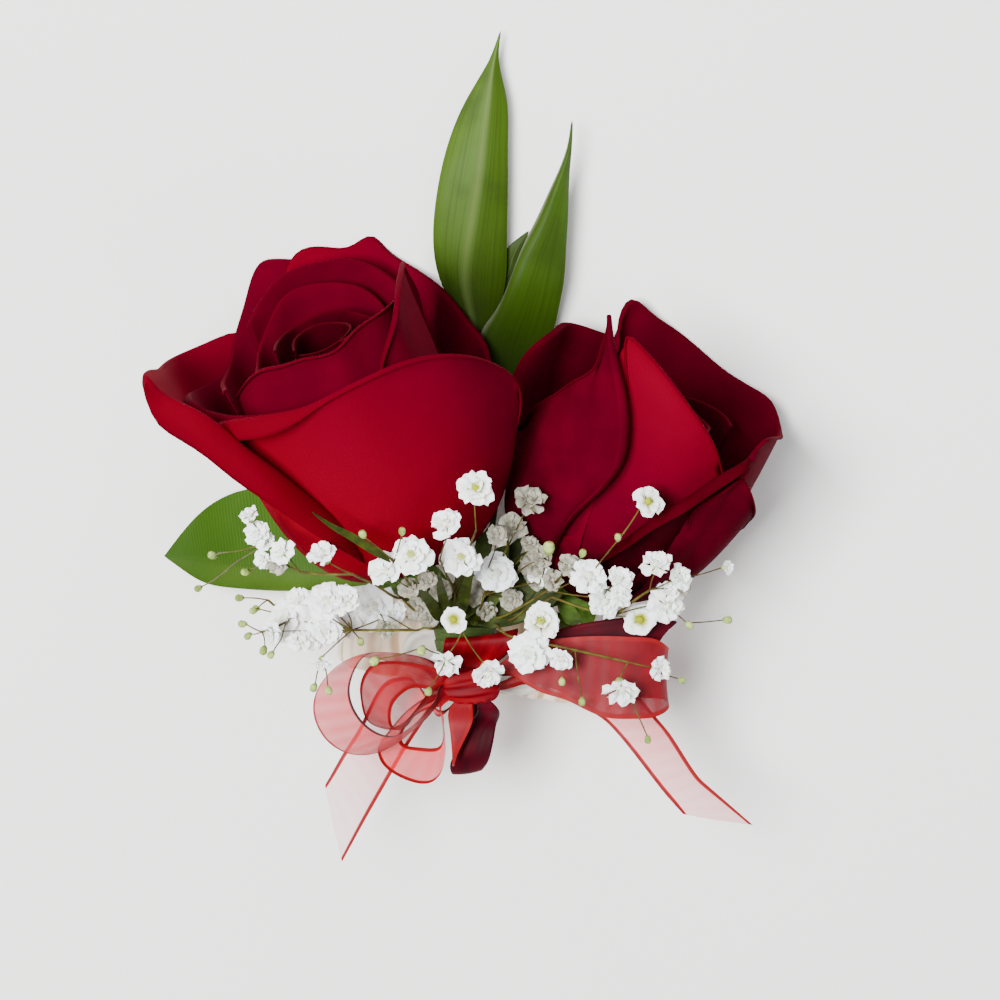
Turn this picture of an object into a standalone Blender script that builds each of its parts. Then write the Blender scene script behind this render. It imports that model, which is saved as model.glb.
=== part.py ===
# Wrist corsage: two red roses, sprays of small white flowers, four leaves and a sheer red bow,
# bound to a plate on a ruched elastic wristlet. It lies on the wristlet and on its two rose heads.
# Lengths are in millimetres and are turned into metres where a mesh is made.
# X runs across the corsage, Y from the bow to the tip of the tall leaf, Z up from the surface.
import math

import bmesh
import bpy
import numpy as np

MM = 0.001
SEAT_GAP = 0.3

# The flowers, leaves and bow hang on one empty, tipped so that the heads come down to the surface.
BINDING_HEIGHT, FLOWERS_Y = 27.7, -1.5
HEAD_DROP = math.radians(13)

# Outlines were read from straight in front, at the depth of the stem binding.
# A point nearer to the eye spreads less than it was read, and one behind spreads more.
EYE_X, EYE_Y, EYE_DISTANCE = 10, 33.6, 1000

# A rose: where its petals meet, its lean to the right, its lean to the eye, its widest radius.
LEFT_ROSE = {"base": (-10.4, 20.7, -1), "tilt": -16.3, "rise": 30, "radius": 36, "round": 34, "top": 64}
RIGHT_ROSE = {"base": (26.5, 15.2, -4), "tilt": 25, "rise": 20, "radius": 25, "round": 30, "top": 58}

# A petal's rim runs from its left edge to its right one as seen from outside: x, y, distance from
# the rose's axis (negative on the far side) and the length of the lip that rolls outward there.
LEFT_PETALS = {
    "front_right": {
        "rim": [
            (-45.2, 48.8, 35, 6), (-41, 49.6, 36, 6), (-35.6, 50.2, 36.5, 6), (-30, 51.4, 37, 3.4),
            (-25.6, 53.6, 37.5, 1.6), (-20, 56.6, 38, 1.2), (-14, 59.2, 38, 1.2), (-8, 61.4, 38, 1.2),
            (-2, 62.6, 38, 1.2), (4, 62.2, 38, 1.2), (9.4, 60.4, 38, 1.2), (12.6, 57.6, 37.6, 1),
            (13.6, 52.6, 36, 0.8), (12.2, 45.6, 33, 0.6), (8, 36.6, 27, 0.4),
        ],
        "bulge": 0.16, "rootSpread": 0.75, "lipTurn": 150, "fold": 2.2,
    },
    "outer_left": {
        "rim": [
            (-37.6, 64.6, -36, 1), (-42, 66.8, -39, 1.5), (-50, 63.8, -42, 2), (-56.4, 61.8, -44, 2),
            (-60.4, 59.8, -45, 2), (-61.4, 57.8, 46, 4), (-58.8, 55.4, 44.5, 7),
            (-54.4, 53.2, 43, 8.5), (-49, 50.4, 42, 9.5), (-43, 46, 40.5, 10), (-36, 40.8, 39, 10),
            (-29, 34.8, 36, 9.5), (-22.4, 29.2, 32, 7.5), (-17.6, 24, 26, 4),
        ],
        "bulge": 0.03, "rootSpread": 0.6, "lipTurn": 150, "fold": 2.6,
    },
    "back_left": {
        "rim": [
            (-45, 55.2, 30, 1), (-43.6, 61.6, -33, 1), (-41.8, 68.6, -36, 1), (-40, 75.2, -38, 1.5),
            (-37.6, 80.4, -39, 1.5), (-35, 81.4, -39, 1.5), (-30, 81, -38, 1.5), (-24, 80, -37, 1),
        ],
        "bulge": 0.14,
    },
    "back": {
        "rim": [
            (-33, 78.2, -36, 1.5), (-30, 82.4, -37.5, 2), (-25, 83.4, -38, 2), (-20, 83.6, -38, 2),
            (-16.2, 85.4, -39, 2), (-13, 82.8, -38.5, 2), (-8, 79.8, -38, 1.5), (-2.6, 75.4, -37, 1.5),
            (1.6, 71, -35.5, 1.5), (5, 66.4, -34, 1.5), (7.2, 61.6, -32, 1), (9, 53.6, -30, 0.5),
        ],
        "bulge": 0.14,
    },
    "back_inner": {
        "rim": [
            (-40, 67.6, -28, 1), (-36, 75.6, -30, 1), (-30, 79.6, -31, 1), (-22, 81.2, -31.5, 1),
            (-14, 79.2, -31, 1), (-9, 73.6, -30, 1), (-6, 67.6, -29, 1),
        ],
        "bulge": 0.14,
    },
    "folded_right": {
        "rim": [
            (-14.8, 55.2, 27, 1.6), (-14, 60, 27, 1.6), (-12.4, 66.6, 26, 1.6), (-10.8, 73.6, 24, 1.6),
            (-9.4, 80, -25, 1), (-7.2, 76, -28, 0.6), (-5.8, 71.2, -30, 0.6), (-3.8, 66.2, -31, 0.5),
            (-1.6, 61.2, -31, 0.5),
        ],
        "bulge": 0.14, "rootSpread": 0.8, "lipTurn": 120,
    },
    "front_left_lip": {
        "rim": [
            (-44.4, 59.2, -30, 1), (-49, 56, -32, 1.4), (-50.8, 53.2, 33, 3), (-48.8, 51.4, 33, 3.2),
            (-43.6, 50.4, 33, 2.8), (-37, 50.6, 33, 2.2), (-30, 52, 32, 1), (-22, 55.2, 31, 0.6),
        ],
        "bulge": 0.12, "lipTurn": 150, "fold": 2,
    },
    "heart_front": {
        "rim": [
            (-42.4, 54, 26, 1), (-40.8, 56.6, 26, 1.2), (-38, 59.2, 26, 1.4), (-34, 60.4, 25.5, 1.2),
            (-30, 61.6, 25, 1), (-25.6, 62.2, 24.5, 0.8), (-22.4, 64, 24, 0.8), (-19.6, 66.8, 23, 0.8),
            (-16, 69.6, 22, 0.8), (-12.4, 72.4, 20, 0.6), (-10, 73.6, 18, 0.5),
        ],
        "bulge": 0.14,
    },
    "heart_left": {
        "rim": [
            (-38.4, 57.6, 22, 0.8), (-37.6, 63.6, -24, 0.8), (-35.6, 70, -26, 0.8),
            (-32.4, 74.4, -27, 0.8), (-26, 76.6, -27, 0.8), (-20, 76.6, -27, 0.8),
        ],
        "bulge": 0.12,
    },
    "heart_ring": {
        "rim": [
            (-35, 63.2, 17, 0.6), (-32, 67.2, -17, 0.6), (-28, 69.6, -19, 0.6), (-22, 71.2, -20, 0.6),
            (-16.4, 70, -19, 0.6), (-18, 67.6, 14, 0.6), (-22, 65.2, 15, 0.6),
        ],
        "bulge": 0.1,
    },
    "heart_centre": {
        "rim": [
            (-31, 63.2, 9, 0.5), (-30, 66.4, -10, 0.5), (-26.4, 68.4, -11, 0.5),
            (-22.4, 68.8, -10, 0.5), (-21, 66.4, 9, 0.5), (-25, 63.6, 10, 0.5), (-30, 62.4, 10, 0.5),
        ],
        "bulge": 0.1,
    },
}

RIGHT_PETALS = {
    "front_left": {
        "rim": [
            (12.8, 46, 25, 0.8), (14.4, 48.2, 25.5, 1), (19, 52.6, 26, 1), (24, 56, 26, 1),
            (28, 58.6, 25.5, 1), (30.4, 62, 25, 1), (31.6, 66.4, 24.5, 1), (32.2, 70.2, 24, 1),
        ],
        "rows": [
            (0.38, [(11.6, 29.6, 21), (16, 27.6, 21.5), (20.4, 27.2, 21), (24, 29.2, 20.5)]),
            (0.72, [(11.6, 39.6, 25), (19, 41.2, 26.2), (28, 43.2, 26), (34.4, 44.8, 25)]),
            (0.88, [(12, 43.2, 25.4), (19.6, 47.6, 26.4), (28, 52.6, 26), (34.2, 56.6, 25)]),
        ],
        "side": (0.3, 1.02, 3.4), "rootSpread": 0.8, "lipTurn": 100,
    },
    "front_right": {
        "rim": [
            (24, 24.6, 16, 0.4), (28, 31.2, 20, 0.4), (31.6, 38.6, 22.5, 0.5), (34.8, 44.6, 23.5, 0.5),
            (35.6, 51.6, 23.5, 0.5), (35.4, 59.6, 23, 0.5), (35.8, 66, 22.6, 0.8), (38.4, 64, 23, 1),
            (42, 59.8, 24, 1), (46, 54.8, 24.5, 1), (50, 49.2, 24.5, 1), (52.6, 44.6, 24, 1),
            (54.2, 39.2, 23, 0.8), (54.4, 33.6, 21, 0.5),
        ],
        "bulge": 0.12, "rootSpread": 0.8,
    },
    "back_left": {
        "rim": [
            (12.8, 45.6, -22, 0.6), (13.2, 53.6, -26, 1), (14, 60, -28, 1.2), (18.6, 64.4, -28, 1.4),
            (22.6, 67.8, -28, 1.6), (26, 68, -27.5, 1.4), (31, 66.4, -26, 1), (35, 64.6, -25, 0.8),
        ],
        "bulge": 0.14,
    },
    "back_right": {
        "rim": [
            (33.6, 63.6, -22, 1), (34.4, 69.2, -24, 1.2), (36.8, 72.8, -26, 1.6), (40, 70.6, -26, 1.6),
            (44.4, 67.4, -26, 1.6), (50, 62.8, -26, 1.6), (54.4, 59.2, -26.5, 1.6),
            (60, 55.6, -27, 1.6), (64.4, 52.8, -28, 1.6), (67.2, 47.4, -29, 1.6),
            (63.8, 45.6, 27, 1.2), (60, 41.2, 25, 1),
        ],
        "bulge": 0.14,
    },
    "outer_right": {
        "rim": [
            (60.4, 43.2, -26, 1.5), (59, 41.2, 26.5, 4), (54.4, 39.4, 26.5, 4.6),
            (48.4, 36.6, 26.5, 5), (42.4, 32.8, 25.5, 5), (38, 29.6, 24.5, 5), (33, 25.2, 21, 4),
            (28.4, 20.4, 16, 2),
        ],
        "bulge": 0.08, "lipTurn": 140, "fold": 2.4,
    },
    "outer_low": {
        "rim": [
            (45.2, 20.4, 20, 0.5), (47.2, 26.6, 22.6, 0.6), (48.6, 31.2, 24, 0.6),
            (53.6, 34.8, 26, 0.8), (58.4, 38, 27, 1), (61.4, 33.2, 29, 1.2), (58, 27.6, -27, 0.8),
        ],
        "bulge": 0.13, "lipTurn": 110,
    },
    "heart_back": {
        "rim": [
            (44.4, 54.6, -15, 0.8), (48, 53.6, -16, 0.8), (51.2, 52.4, -16, 0.8),
            (54.4, 50.4, -16, 0.8), (56, 48, -15, 0.8),
        ],
        "bulge": 0.12,
    },
    "heart_centre": {
        "rim": [
            (38, 53.6, 12, 0.6), (42, 54, -12, 0.6), (47, 52, -12, 0.6), (50, 49.6, -11, 0.6),
            (51.2, 47.2, 10, 0.6), (48, 46.4, 12, 0.6), (44, 47.6, 13, 0.6),
        ],
        "bulge": 0.1,
    },
}

# Depths at which a rose is looked for under the small flowers, and how far they keep off it.
ROSE_DEPTHS, ROSE_MARGIN = (60, -30, -0.5), 2.5

PETAL_THICKNESS = 0.8
PETAL_ACROSS, PETAL_ALONG = 9, 4
PETAL_ROOT_RADIUS, PETAL_ROOT_HEIGHT, PETAL_LOWEST = 5, 1, 0.3
SIGHT_STEPS = 5

# What holds unless a petal says otherwise: how narrow its root is, how its lip turns in degrees and
# how evenly. The belly lies nearer to the root than to the rim, and a lip rolls out and down.
ROOT_SPREAD, LIP_TURN, LIP_FOLD = 0.7, 110, 1
BELLY_SKEW, LIP_OUT, LIP_DOWN = 0.8, 0.8, 0.5

# A side edge that folds back: how far over and back its strip lies, its crest and its roundness.
SIDE_OVER, SIDE_BACK, SIDE_CREST, SIDE_ROUNDNESS = 0.45, 0.75, 0.35, 0.6

# The hip under a rose, down its axis: height and radius. A sepal's rows: reach, height, half width.
HIP = [(-SEAT_GAP, 4.2), (-2.4, 4.6), (-5, 3.2), (-7, 1.8)]
SEPALS, SEPAL_ROWS = 5, [(3, -2.4, 2), (6.2, -3, 1.8), (8.4, -6, 0.4)]
CALYX_SIDES, STEM_START, STEM_STRAIGHT, STEM_LIFT = 8, 5, 2.2, (0, 2.2, 0.6)

# The heart that the innermost petals wrap: height and radius pairs up the axis.
LEFT_HEART = [(0.4, 5.4), (6, 8), (15, 9.5), (27, 8.5), (36, 5), (40, 1)]
RIGHT_HEART = [(0.4, 5.4), (6, 7.5), (14, 8.5), (24, 7.5), (32, 4.5), (36, 1)]
HEART_SIDES = 10

# A leaf's rows run from its tip to its stalk: left edge x y, midrib x y, right edge x y,
# depth of the edges, and how far the midrib stands in front of them.
LEAVES = {
    "leaf_tall": [
        (10.2, 127.6, 10.2, 127.6, 10.2, 127.6, 4, 0), (7.8, 121.6, 8.8, 121.6, 9.8, 121.6, 3.2, 0.5),
        (3.2, 113.6, 7.6, 113.6, 11.4, 113.6, 2, 1.4),
        (-0.2, 105.6, 6.6, 105.6, 11.6, 105.6, 0.4, 1.8), (-2.2, 97.6, 5.6, 97.6, 11.6, 97.6, -1, 2),
        (-3.4, 86.6, 3.8, 86.6, 11.4, 86, -3.6, 2), (-1.6, 76.6, 3, 76.6, 11, 76.6, -7.2, 1.8),
        (3, 67.6, 5, 67.6, 9, 67.6, -10.2, 1.2), (5, 59.2, 6, 59.2, 7.8, 59.2, -12.8, 0.7),
    ],
    "leaf_folded": [
        (24.4, 109.6, 24.4, 109.6, 24.4, 109.6, 4, 0), (23.2, 103.2, 23.8, 103.4, 24.2, 103.6, 3, 1),
        (20, 95.6, 21.2, 95.6, 23.8, 96, 1.6, 2), (17.2, 89.6, 19, 89.4, 23.6, 90, 0.2, 2.6),
        (14.4, 83.6, 15.8, 82.8, 23.2, 83.2, -1.2, 3), (12.2, 77.6, 13.4, 76.6, 22.8, 77.6, -3, 3),
        (9, 71.2, 11, 70, 21.6, 71.2, -6, 2.2), (6, 66, 8.8, 64, 19.6, 65.2, -8.6, 1.6),
        (8.8, 59.2, 10.6, 58, 14.2, 58.4, -10.6, 1),
    ],
    "leaf_behind": [
        (15.8, 87.4, 15.8, 87.4, 15.8, 87.4, -5.4, 0), (11.8, 84.4, 13.4, 84.2, 15, 84.2, -5.8, 0.4),
        (9.2, 79.2, 11.6, 79, 14, 79.2, -8.6, 0.6), (8.3, 71.6, 10.4, 71.2, 12.6, 71.6, -11.2, 0.5),
        (9.1, 63.6, 10.2, 63.2, 11.4, 63.6, -12.2, 0.4),
    ],
    "leaf_broad": [
        (-57.2, 22.4, -57.2, 22.4, -57.2, 22.4, -10, 0), (-54, 26.6, -53.2, 22, -52, 18.6, -11.5, 1),
        (-50, 31, -48.8, 21.6, -47.6, 16.6, -13, 1.4), (-44.4, 34.6, -42.8, 21, -41.2, 15.8, -15, 1.6),
        (-37.6, 36, -36, 20.2, -34.4, 15.4, -16.5, 1.8),
        (-30, 34.4, -28.8, 19.6, -27.6, 15.6, -17, 1.8), (-22.8, 30, -22, 19, -21, 16.2, -16.5, 1.4),
        (-15.6, 24, -15.2, 18.6, -14.4, 17, -15, 1),
    ],
}
LEAF_THICKNESS = 0.8
LEAF_ROWS, LEAF_ACROSS, LEAF_TIP = 10, 3, 0.12
STALK_RADIUS, STALK_SIDES, STALK_POINTS, STALK_STRAIGHT = 0.8, 4, 7, 2

# Where each leaf's stalk ends on top of the stem binding (x, z), and a point that it passes.
STALKS = {
    "leaf_tall": ((1.4, -4), (3.6, 32, -14)),
    "leaf_folded": ((5.4, -3.6), (9, 32, -12)),
    "leaf_behind": ((3.5, -4), (7.4, 36, -13.6)),
    "leaf_broad": ((-1.6, -3), (-8, 17, -9.5)),
}

# A ribbon's rows give both of its edges, x y z and x y z, from the knot outward and back.
RIBBONS = {
    "bow_loop_left": [
        (-1.8, -2, 6.2, -1.8, -1, 9), (-5, 0.8, 6, -5.2, 1.4, 12), (-10, 2.4, 5.5, -10, 2.8, 15),
        (-16, 2.6, 5, -14.4, 3.2, 16.5), (-21, 1.4, 4.5, -17.2, 2.2, 17),
        (-24.4, -1.2, 4, -19, -0.4, 17), (-26.6, -4.4, 4, -20, -3.8, 17),
        (-27.4, -8, 4, -19.6, -7, 17), (-26.6, -11.6, 4, -18, -10, 17),
        (-24.4, -14.8, 4.5, -15.4, -12.4, 16.5), (-20.8, -17, 5, -12, -13.6, 16),
        (-16.4, -17.4, 5.5, -9, -12.6, 15), (-12, -16, 6, -6.4, -10.4, 13.5),
        (-7.6, -12.8, 6.4, -4.2, -7.8, 11.5), (-4, -8.2, 6.4, -2.6, -6, 9.8),
        (-2, -5.4, 6.4, -1.8, -4.8, 8.8),
    ],
    "bow_loop_left_inner": [
        (-1.8, -3, 6.6, -1.8, -2.6, 8.4), (-7, -4, 7, -7, -0.6, 11),
        (-9.6, -5.2, 7.5, -12, -0.2, 12.5), (-11.2, -7, 8, -15.2, -1, 13),
        (-11.8, -9, 8, -17.2, -3.6, 13), (-11.6, -11.2, 8, -17.8, -6.8, 13),
        (-10.8, -12.2, 8.4, -16.8, -10.2, 13), (-9.4, -12.2, 8.4, -14, -12, 12.5),
        (-7.6, -10.4, 8, -10.6, -11.6, 12), (-5.8, -8.2, 7.6, -7.6, -9.2, 11),
        (-3.8, -6, 7.1, -4.6, -6, 9.6), (-1.8, -3.6, 6.8, -2, -3.6, 8.6),
    ],
    "bow_loop_low": [
        (-1.8, -6.8, 4, -1.8, -6.4, 5.6), (-4, -7.6, 1.6, -4.8, -7, 4.4), (-7, -9.6, 0.5, -9, -8.8, 4),
        (-9.2, -12.4, 0, -12.4, -12.8, 3.8), (-9.6, -14.4, 0.5, -14.4, -16, 4.2),
        (-8.8, -15.4, 1, -13.8, -18.8, 5), (-6.8, -15.8, 1.5, -11.2, -21.2, 6),
        (-4.4, -16, 2, -7.6, -22.8, 7), (-2.4, -15.8, 2.5, -4, -23, 8),
        (-1.6, -14.8, 3, -1.8, -21, 8.5), (-1.4, -12.8, 3.5, -1, -16.8, 8.5),
        (-1.6, -10.4, 4.2, -1.4, -12, 8.4), (-1.8, -8.6, 5.6, -1.8, -8.8, 8.4),
        (-1.8, -7.6, 6.4, -1.8, -7.6, 8.4),
    ],
    "bow_loop_point": [
        (-0.2, -8.4, 8.6, 4.6, -8.4, 8.6), (-0.2, -11.4, 10, 4.4, -11, 10),
        (0.2, -14.8, 9.6, 2.8, -14.6, 9.6), (0.4, -17.8, 8.4, 1.4, -17.6, 8.4),
        (0.4, -19.6, 6.2, 0.8, -19.6, 6.2), (0.4, -17.8, 4.4, 1.4, -17.6, 4.4),
        (0.2, -14.8, 3.6, 2.8, -14.6, 3.6), (-0.2, -11.4, 3.8, 4, -11, 3.8),
        (-0.2, -8.8, 5.2, 4.2, -8.8, 5.2),
    ],
    "satin_loop_low": [
        (5.6, -8.4, 5.4, 9.6, -8.2, 5.4), (4, -10.8, 2, 9.4, -10.8, 2.2),
        (1.8, -14.4, 1, 8.8, -14, 1.4), (0.6, -17.6, 0.4, 8.2, -16.8, 1),
        (0, -19.8, -0.8, 7.4, -19, -0.4), (0.6, -21.2, -2.6, 6.2, -20.4, -2.4),
        (0.8, -19.4, -4.4, 7, -18.4, -4.2), (1.2, -15.4, -5, 7.8, -14.6, -4.8),
        (2, -11.2, -4.4, 8.2, -10.8, -4.4), (2.8, -7.8, -2.6, 7.6, -7.6, -2.6),
    ],
    "satin_loop_upper": [
        (-1, 1.8, 8.8, 10, 1.6, 8.6), (-1.4, 3.4, 11.2, 12.4, 4, 11), (-1.2, 5, 11.8, 13.4, 6.4, 11.5),
        (-0.8, 6, 10, 13.6, 7.8, 9.6), (-0.8, 5.2, 7.6, 13.2, 6.8, 7.2), (-0.8, 3.6, 6.6, 11.6, 4, 6.3),
        (-0.8, 1.8, 6.5, 10, 1.6, 6.3),
    ],
    "bow_loop_right": [
        (10.6, 1.4, 8.6, 10.6, -1.2, 8.6), (14, 3.6, 9.5, 13.6, -2.2, 9.5),
        (19, 5.4, 10.5, 18, -4.8, 10.5), (25, 6.2, 11, 23.6, -6.6, 11), (31, 6.4, 11, 30, -9.6, 11),
        (37, 6.2, 10.5, 36.4, -10.2, 10), (41.6, 5.6, 9, 41, -9.8, 8.6), (43.8, 4, 6, 43.8, -8, 6),
        (42.8, 4.6, 3, 42.8, -6.4, 3), (38, 5.6, 1.5, 38, -6, 1.5), (30, 5.6, 1.5, 30, -5.4, 1.5),
        (22, 3.2, 2, 22, -4.4, 2), (15, 1.2, 3.6, 15, -2.2, 3.6), (10.6, 0.4, 4.6, 10.6, -1.6, 4.6),
    ],
    "satin_loop_right": [
        (10.6, 0, 7, 10.6, -1.2, 7), (14, 3.6, 7.2, 14, 0, 7.2), (18, 6.4, 7.6, 18, 1.6, 7.6),
        (26, 8.8, 8, 26.4, 0.8, 8), (34, 10, 8, 34.4, 0.8, 8), (41, 10.2, 7.4, 39, 2, 7.4),
        (45.4, 9.2, 6.2, 40.8, 3.6, 6.2), (41, 9.6, 5, 38.8, 2.6, 5), (34, 9.2, 4.4, 34, 1.6, 4.4),
        (26, 7.6, 4.6, 26, 1.6, 4.6), (18, 5.2, 5.2, 18, 2.4, 5.2), (14, 2.8, 5.5, 14, 0.4, 5.5),
        (10.6, 0, 5.8, 10.6, -1, 5.8),
    ],
    "bow_tail_left": [
        (-2, -8.4, 2.2, -2, -9.8, 0.6), (-7.2, -2.4, -2.2, -3.6, -8.2, -2),
        (-10, -1.8, -2.4, -4.8, -10, -2), (-13.4, -3.2, -2, -7.4, -14, -2.4),
        (-17.6, -10.8, -3.4, -10.8, -19.6, -3.4), (-21, -16.4, -4.4, -14, -25.2, -4.4),
        (-23.4, -20.6, -5.4, -17.2, -30.8, -5.4), (-25, -23.4, -6.4, -21.6, -38.8, -6.6),
    ],
    "bow_tail_right": [
        (10.4, -4.4, 3.6, 10.6, -2.6, 4), (15.6, -3.2, 0.2, 16.8, 0.8, 0),
        (23, -5.2, -0.8, 24.4, 1.2, -0.8), (28.4, -8.8, -1, 34.4, -2.4, -1),
        (31, -10.6, -0.6, 40.4, -8.8, -0.8), (34.4, -14.2, -0.4, 43.6, -12.6, -0.4),
        (38.2, -19, -0.8, 46.4, -16.8, -0.8), (42.2, -24.2, -1.6, 49.6, -21.6, -1.6),
        (44.6, -27, -2.2, 52.8, -24.6, -2.2), (46.6, -29.2, -3, 60.6, -31.4, -3.4),
    ],
}
RIBBON_THICKNESS = 0.6
RIBBON_STEPS = 1.4

# A spray starts on top of the stem binding (x, z). Its points are: the point it grows from,
# x, y, height over what lies beneath, kind, size and the way it faces (x, y).
SPRAYS = {
    "spray_left_low": ((-1.9, 2.5), [
        (-1, -7.6, 7.6, 3, "fork", 0, 0, 0), (0, -19.6, 7.6, 3, "fork", 0, 0, 0),
        (1, -33.4, 9.6, 3.5, "full", 10, -0.3, 0), (1, -24.8, 13.6, 5, "full", 9.2, -0.1, 0.3),
        (1, -27.6, 5.6, 3, "full", 6.8, -0.3, -0.5), (0, -15.2, 12.4, 3.5, "full", 10, 0, 0.1),
        (1, -25.6, 0.8, 3, "half", 4.8, 0, -0.8), (2, -36.4, 13.6, 3, "fork", 0, 0, 0),
        (7, -42.4, 14, 4, "bud", 2.8, -1, 0), (7, -39.6, 11.4, 4, "bud", 2.6, -1, -0.2),
        (2, -37.6, 7.2, 3, "fork", 0, 0, 0), (10, -41.8, 8.8, 3, "bud", 2.8, -1, 0),
        (10, -40.6, 6.2, 3, "bud", 2.6, -0.8, -0.8), (10, -37.4, 3.2, 3, "bud", 3, -0.3, -1),
        (6, -27.4, -4.2, 3, "bud", 2.8, -0.5, -1), (6, -24.2, -4.8, 3, "bud", 2.8, 0.3, -1),
        (1, -17.8, 5, 3, "bud", 2.6, 0.3, -1),
    ]),
    "spray_left": ((-2.7, 0.6), [
        (-1, -9.6, 14, 4, "fork", 0, 0, 0), (0, -19.6, 18.8, 4, "fork", 0, 0, 0),
        (1, -25.8, 23, 6, "half", 7.2, -0.5, 0.7), (1, -30, 19.2, 5, "fork", 0, 0, 0),
        (3, -33.8, 23.4, 7, "half", 6.4, -0.4, 0.3), (3, -37.6, 21.6, 5, "half", 4.8, -0.6, -0.2),
        (4, -39, 27, 7, "full", 6.4, -0.4, 0.3), (6, -40.2, 30.6, 7, "half", 4.8, -0.3, 0.8),
        (5, -41.2, 19.2, 5, "bud", 2.8, -1, 0), (8, -47.8, 22.6, 6, "bud", 3, -1, 0.3),
        (8, -50.6, 15.8, 6, "bud", 2.6, -1, -0.5),
    ]),
    "spray_left_up": ((-0.4, 3.8), [
        (-1, -5, 13.6, 4, "fork", 0, 0, 0), (0, -13.2, 19.4, 4, "half", 8.4, -0.5, 0.3),
        (0, -7.8, 22.8, 4, "full", 8.8, -0.1, 0.2), (0, -11.2, 21.2, 3, "fork", 0, 0, 0),
        (3, -17.6, 27, 4, "bud", 2.8, -0.4, 0.8), (3, -9.6, 27.6, 3, "bud", 2.6, 0, 1),
        (3, -28.2, 31.6, 5, "blade", 1.6, -1, 0.6),
    ]),
    "spray_up": ((1.3, 3.2), [
        (-1, 1, 15.2, 4, "fork", 0, 0, 0), (0, 2.2, 22.2, 4.5, "full", 8.8, 0, 0.1),
        (0, -2, 21.6, 3, "fork", 0, 0, 0), (2, -1, 29.2, 4, "half", 8, -0.3, 0.6),
        (0, 5.2, 27.6, 3, "fork", 0, 0, 0), (4, 5.2, 36.2, 4, "full", 8, 0.1, 0.2),
    ]),
    "spray_up_right": ((3.6, 2.6), [
        (-1, 6.8, 14.6, 5, "fork", 0, 0, 0), (0, 9.4, 19, 9, "full", 9.2, 0.1, 0),
        (0, 11.2, 23.6, 12, "fork", 0, 0, 0), (2, 12.4, 28.4, 10, "half", 7.6, 0.1, 0.4),
        (2, 16.2, 33.6, 6, "half", 8, 0.3, 0.6),
    ]),
    "spray_right_up": ((5, 3.2), [
        (-1, 12.4, 11.2, 5, "fork", 0, 0, 0), (0, 19.6, 15.6, 4, "fork", 0, 0, 0),
        (1, 18, 18.6, 4, "half", 6, -0.2, 0.6), (2, 19.8, 24.4, 4, "bud", 4.4, 0, 1),
        (1, 26.6, 23.2, 4, "bud", 2.8, 0.2, 0.8), (1, 28, 18.6, 5, "full", 8.4, 0.2, 0.3),
        (1, 31.2, 13.2, 5, "full", 8, 0.3, -0.2), (6, 34, 18, 4, "half", 6.8, 0.3, 0.4),
        (5, 33.6, 26.4, 3.5, "bud", 2.6, 0, 1), (8, 39.8, 33.4, 4.5, "full", 7.6, 0.4, 0.2),
    ]),
    "spray_right": ((8.7, 0.6), [
        (-1, 20.4, 14.2, 6, "fork", 0, 0, 0), (0, 32.4, 10.4, 9, "fork", 0, 0, 0),
        (1, 38, 9.6, 7.5, "full", 7.6, -0.1, -0.1), (1, 43.6, 12.4, 7, "full", 8.8, 0.3, -0.1),
        (1, 40, 15.6, 5, "fork", 0, 0, 0), (4, 41.4, 21, 5, "half", 7.6, 0.1, 0.6),
        (4, 46.2, 18.2, 5, "half", 6.4, 0.6, 0.2), (6, 55.6, 20.2, 5, "half", 3.6, 1, 0.1),
        (3, 48, 8.4, 5, "bud", 2.8, 0.6, -0.6), (8, 55.8, 9.6, 5, "bud", 3, 1, 0),
    ]),
    "spray_right_low": ((8.2, 2), [
        (-1, 15.6, 5.4, 3, "fork", 0, 0, 0), (0, 18.2, 9.4, 6, "full", 8.8, 0, 0.1),
        (0, 15.6, 2.6, 4, "full", 9.2, -0.1, -0.2), (0, 25, 3.6, 3, "fork", 0, 0, 0),
        (3, 22.2, 1.6, 4, "half", 6.4, -0.2, -0.5), (4, 22.4, -3, 3, "bud", 2.6, 0, -1),
        (3, 26.4, -7, 3, "bud", 2.8, 0, -1), (3, 35.6, 1.2, 3, "fork", 0, 0, 0),
        (7, 34.2, -4.8, 4, "half", 8.4, 0.1, -0.8), (7, 42.2, -0.2, 4, "half", 6, 0.6, -0.1),
        (9, 46.6, -2.6, 3, "bud", 2.4, 0.8, -0.5), (8, 39.6, -14.6, 3, "bud", 2.6, 0.1, -1),
    ]),
    "spray_front": ((3.2, 4.5), [
        (-1, 2.4, 7.4, 5, "fork", 0, 0, 0), (0, 0.6, 9.6, 8, "full", 6.4, -0.2, -0.1),
        (0, -0.8, 0.8, 4, "half", 7.2, -0.1, -0.6), (0, 7.6, -1.4, 4, "half", 8.4, 0.2, -0.6),
        (2, -5.8, 3.2, 5, "bud", 3.4, -0.3, -0.8), (4, -15.4, 1.2, 3, "bud", 3.4, -0.8, -0.5),
        (2, -4.4, -5, 3, "bud", 2.8, -0.3, -1),
    ]),
}
STEM_RADIUS, STEM_SIDES = 0.45, 3
STEM_CLEARANCE, STEM_SHORT, SHORT_POINTS, LONG_POINTS = 1.3, 14, 3, 5

# How far a spray's stem rises before it bends down or up, how much a floret faces the eye against
# its lean, and how far its stem ends behind its middle.
RISE_DOWN, RISE_UP = 0.7, 1.8
FLORET_LEAN, FLORET_SINK = 0.8, 0.3

# Widths of a narrow leaf along its length, as shares of its widest.
LEAF_SHARES = (0.5, 0.9, 1, 0.7, 0.12)

# Least depth of the small flowers over the stems, over the bow and over its big left loop.
STEM_DEPTH, BOW_DEPTH, BOW_LOOP_DEPTH = 5, 13, 18.5
BOW_TOP, LOOP_RIGHT, LOOP_TOP = 9, -1, 3.5

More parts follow.
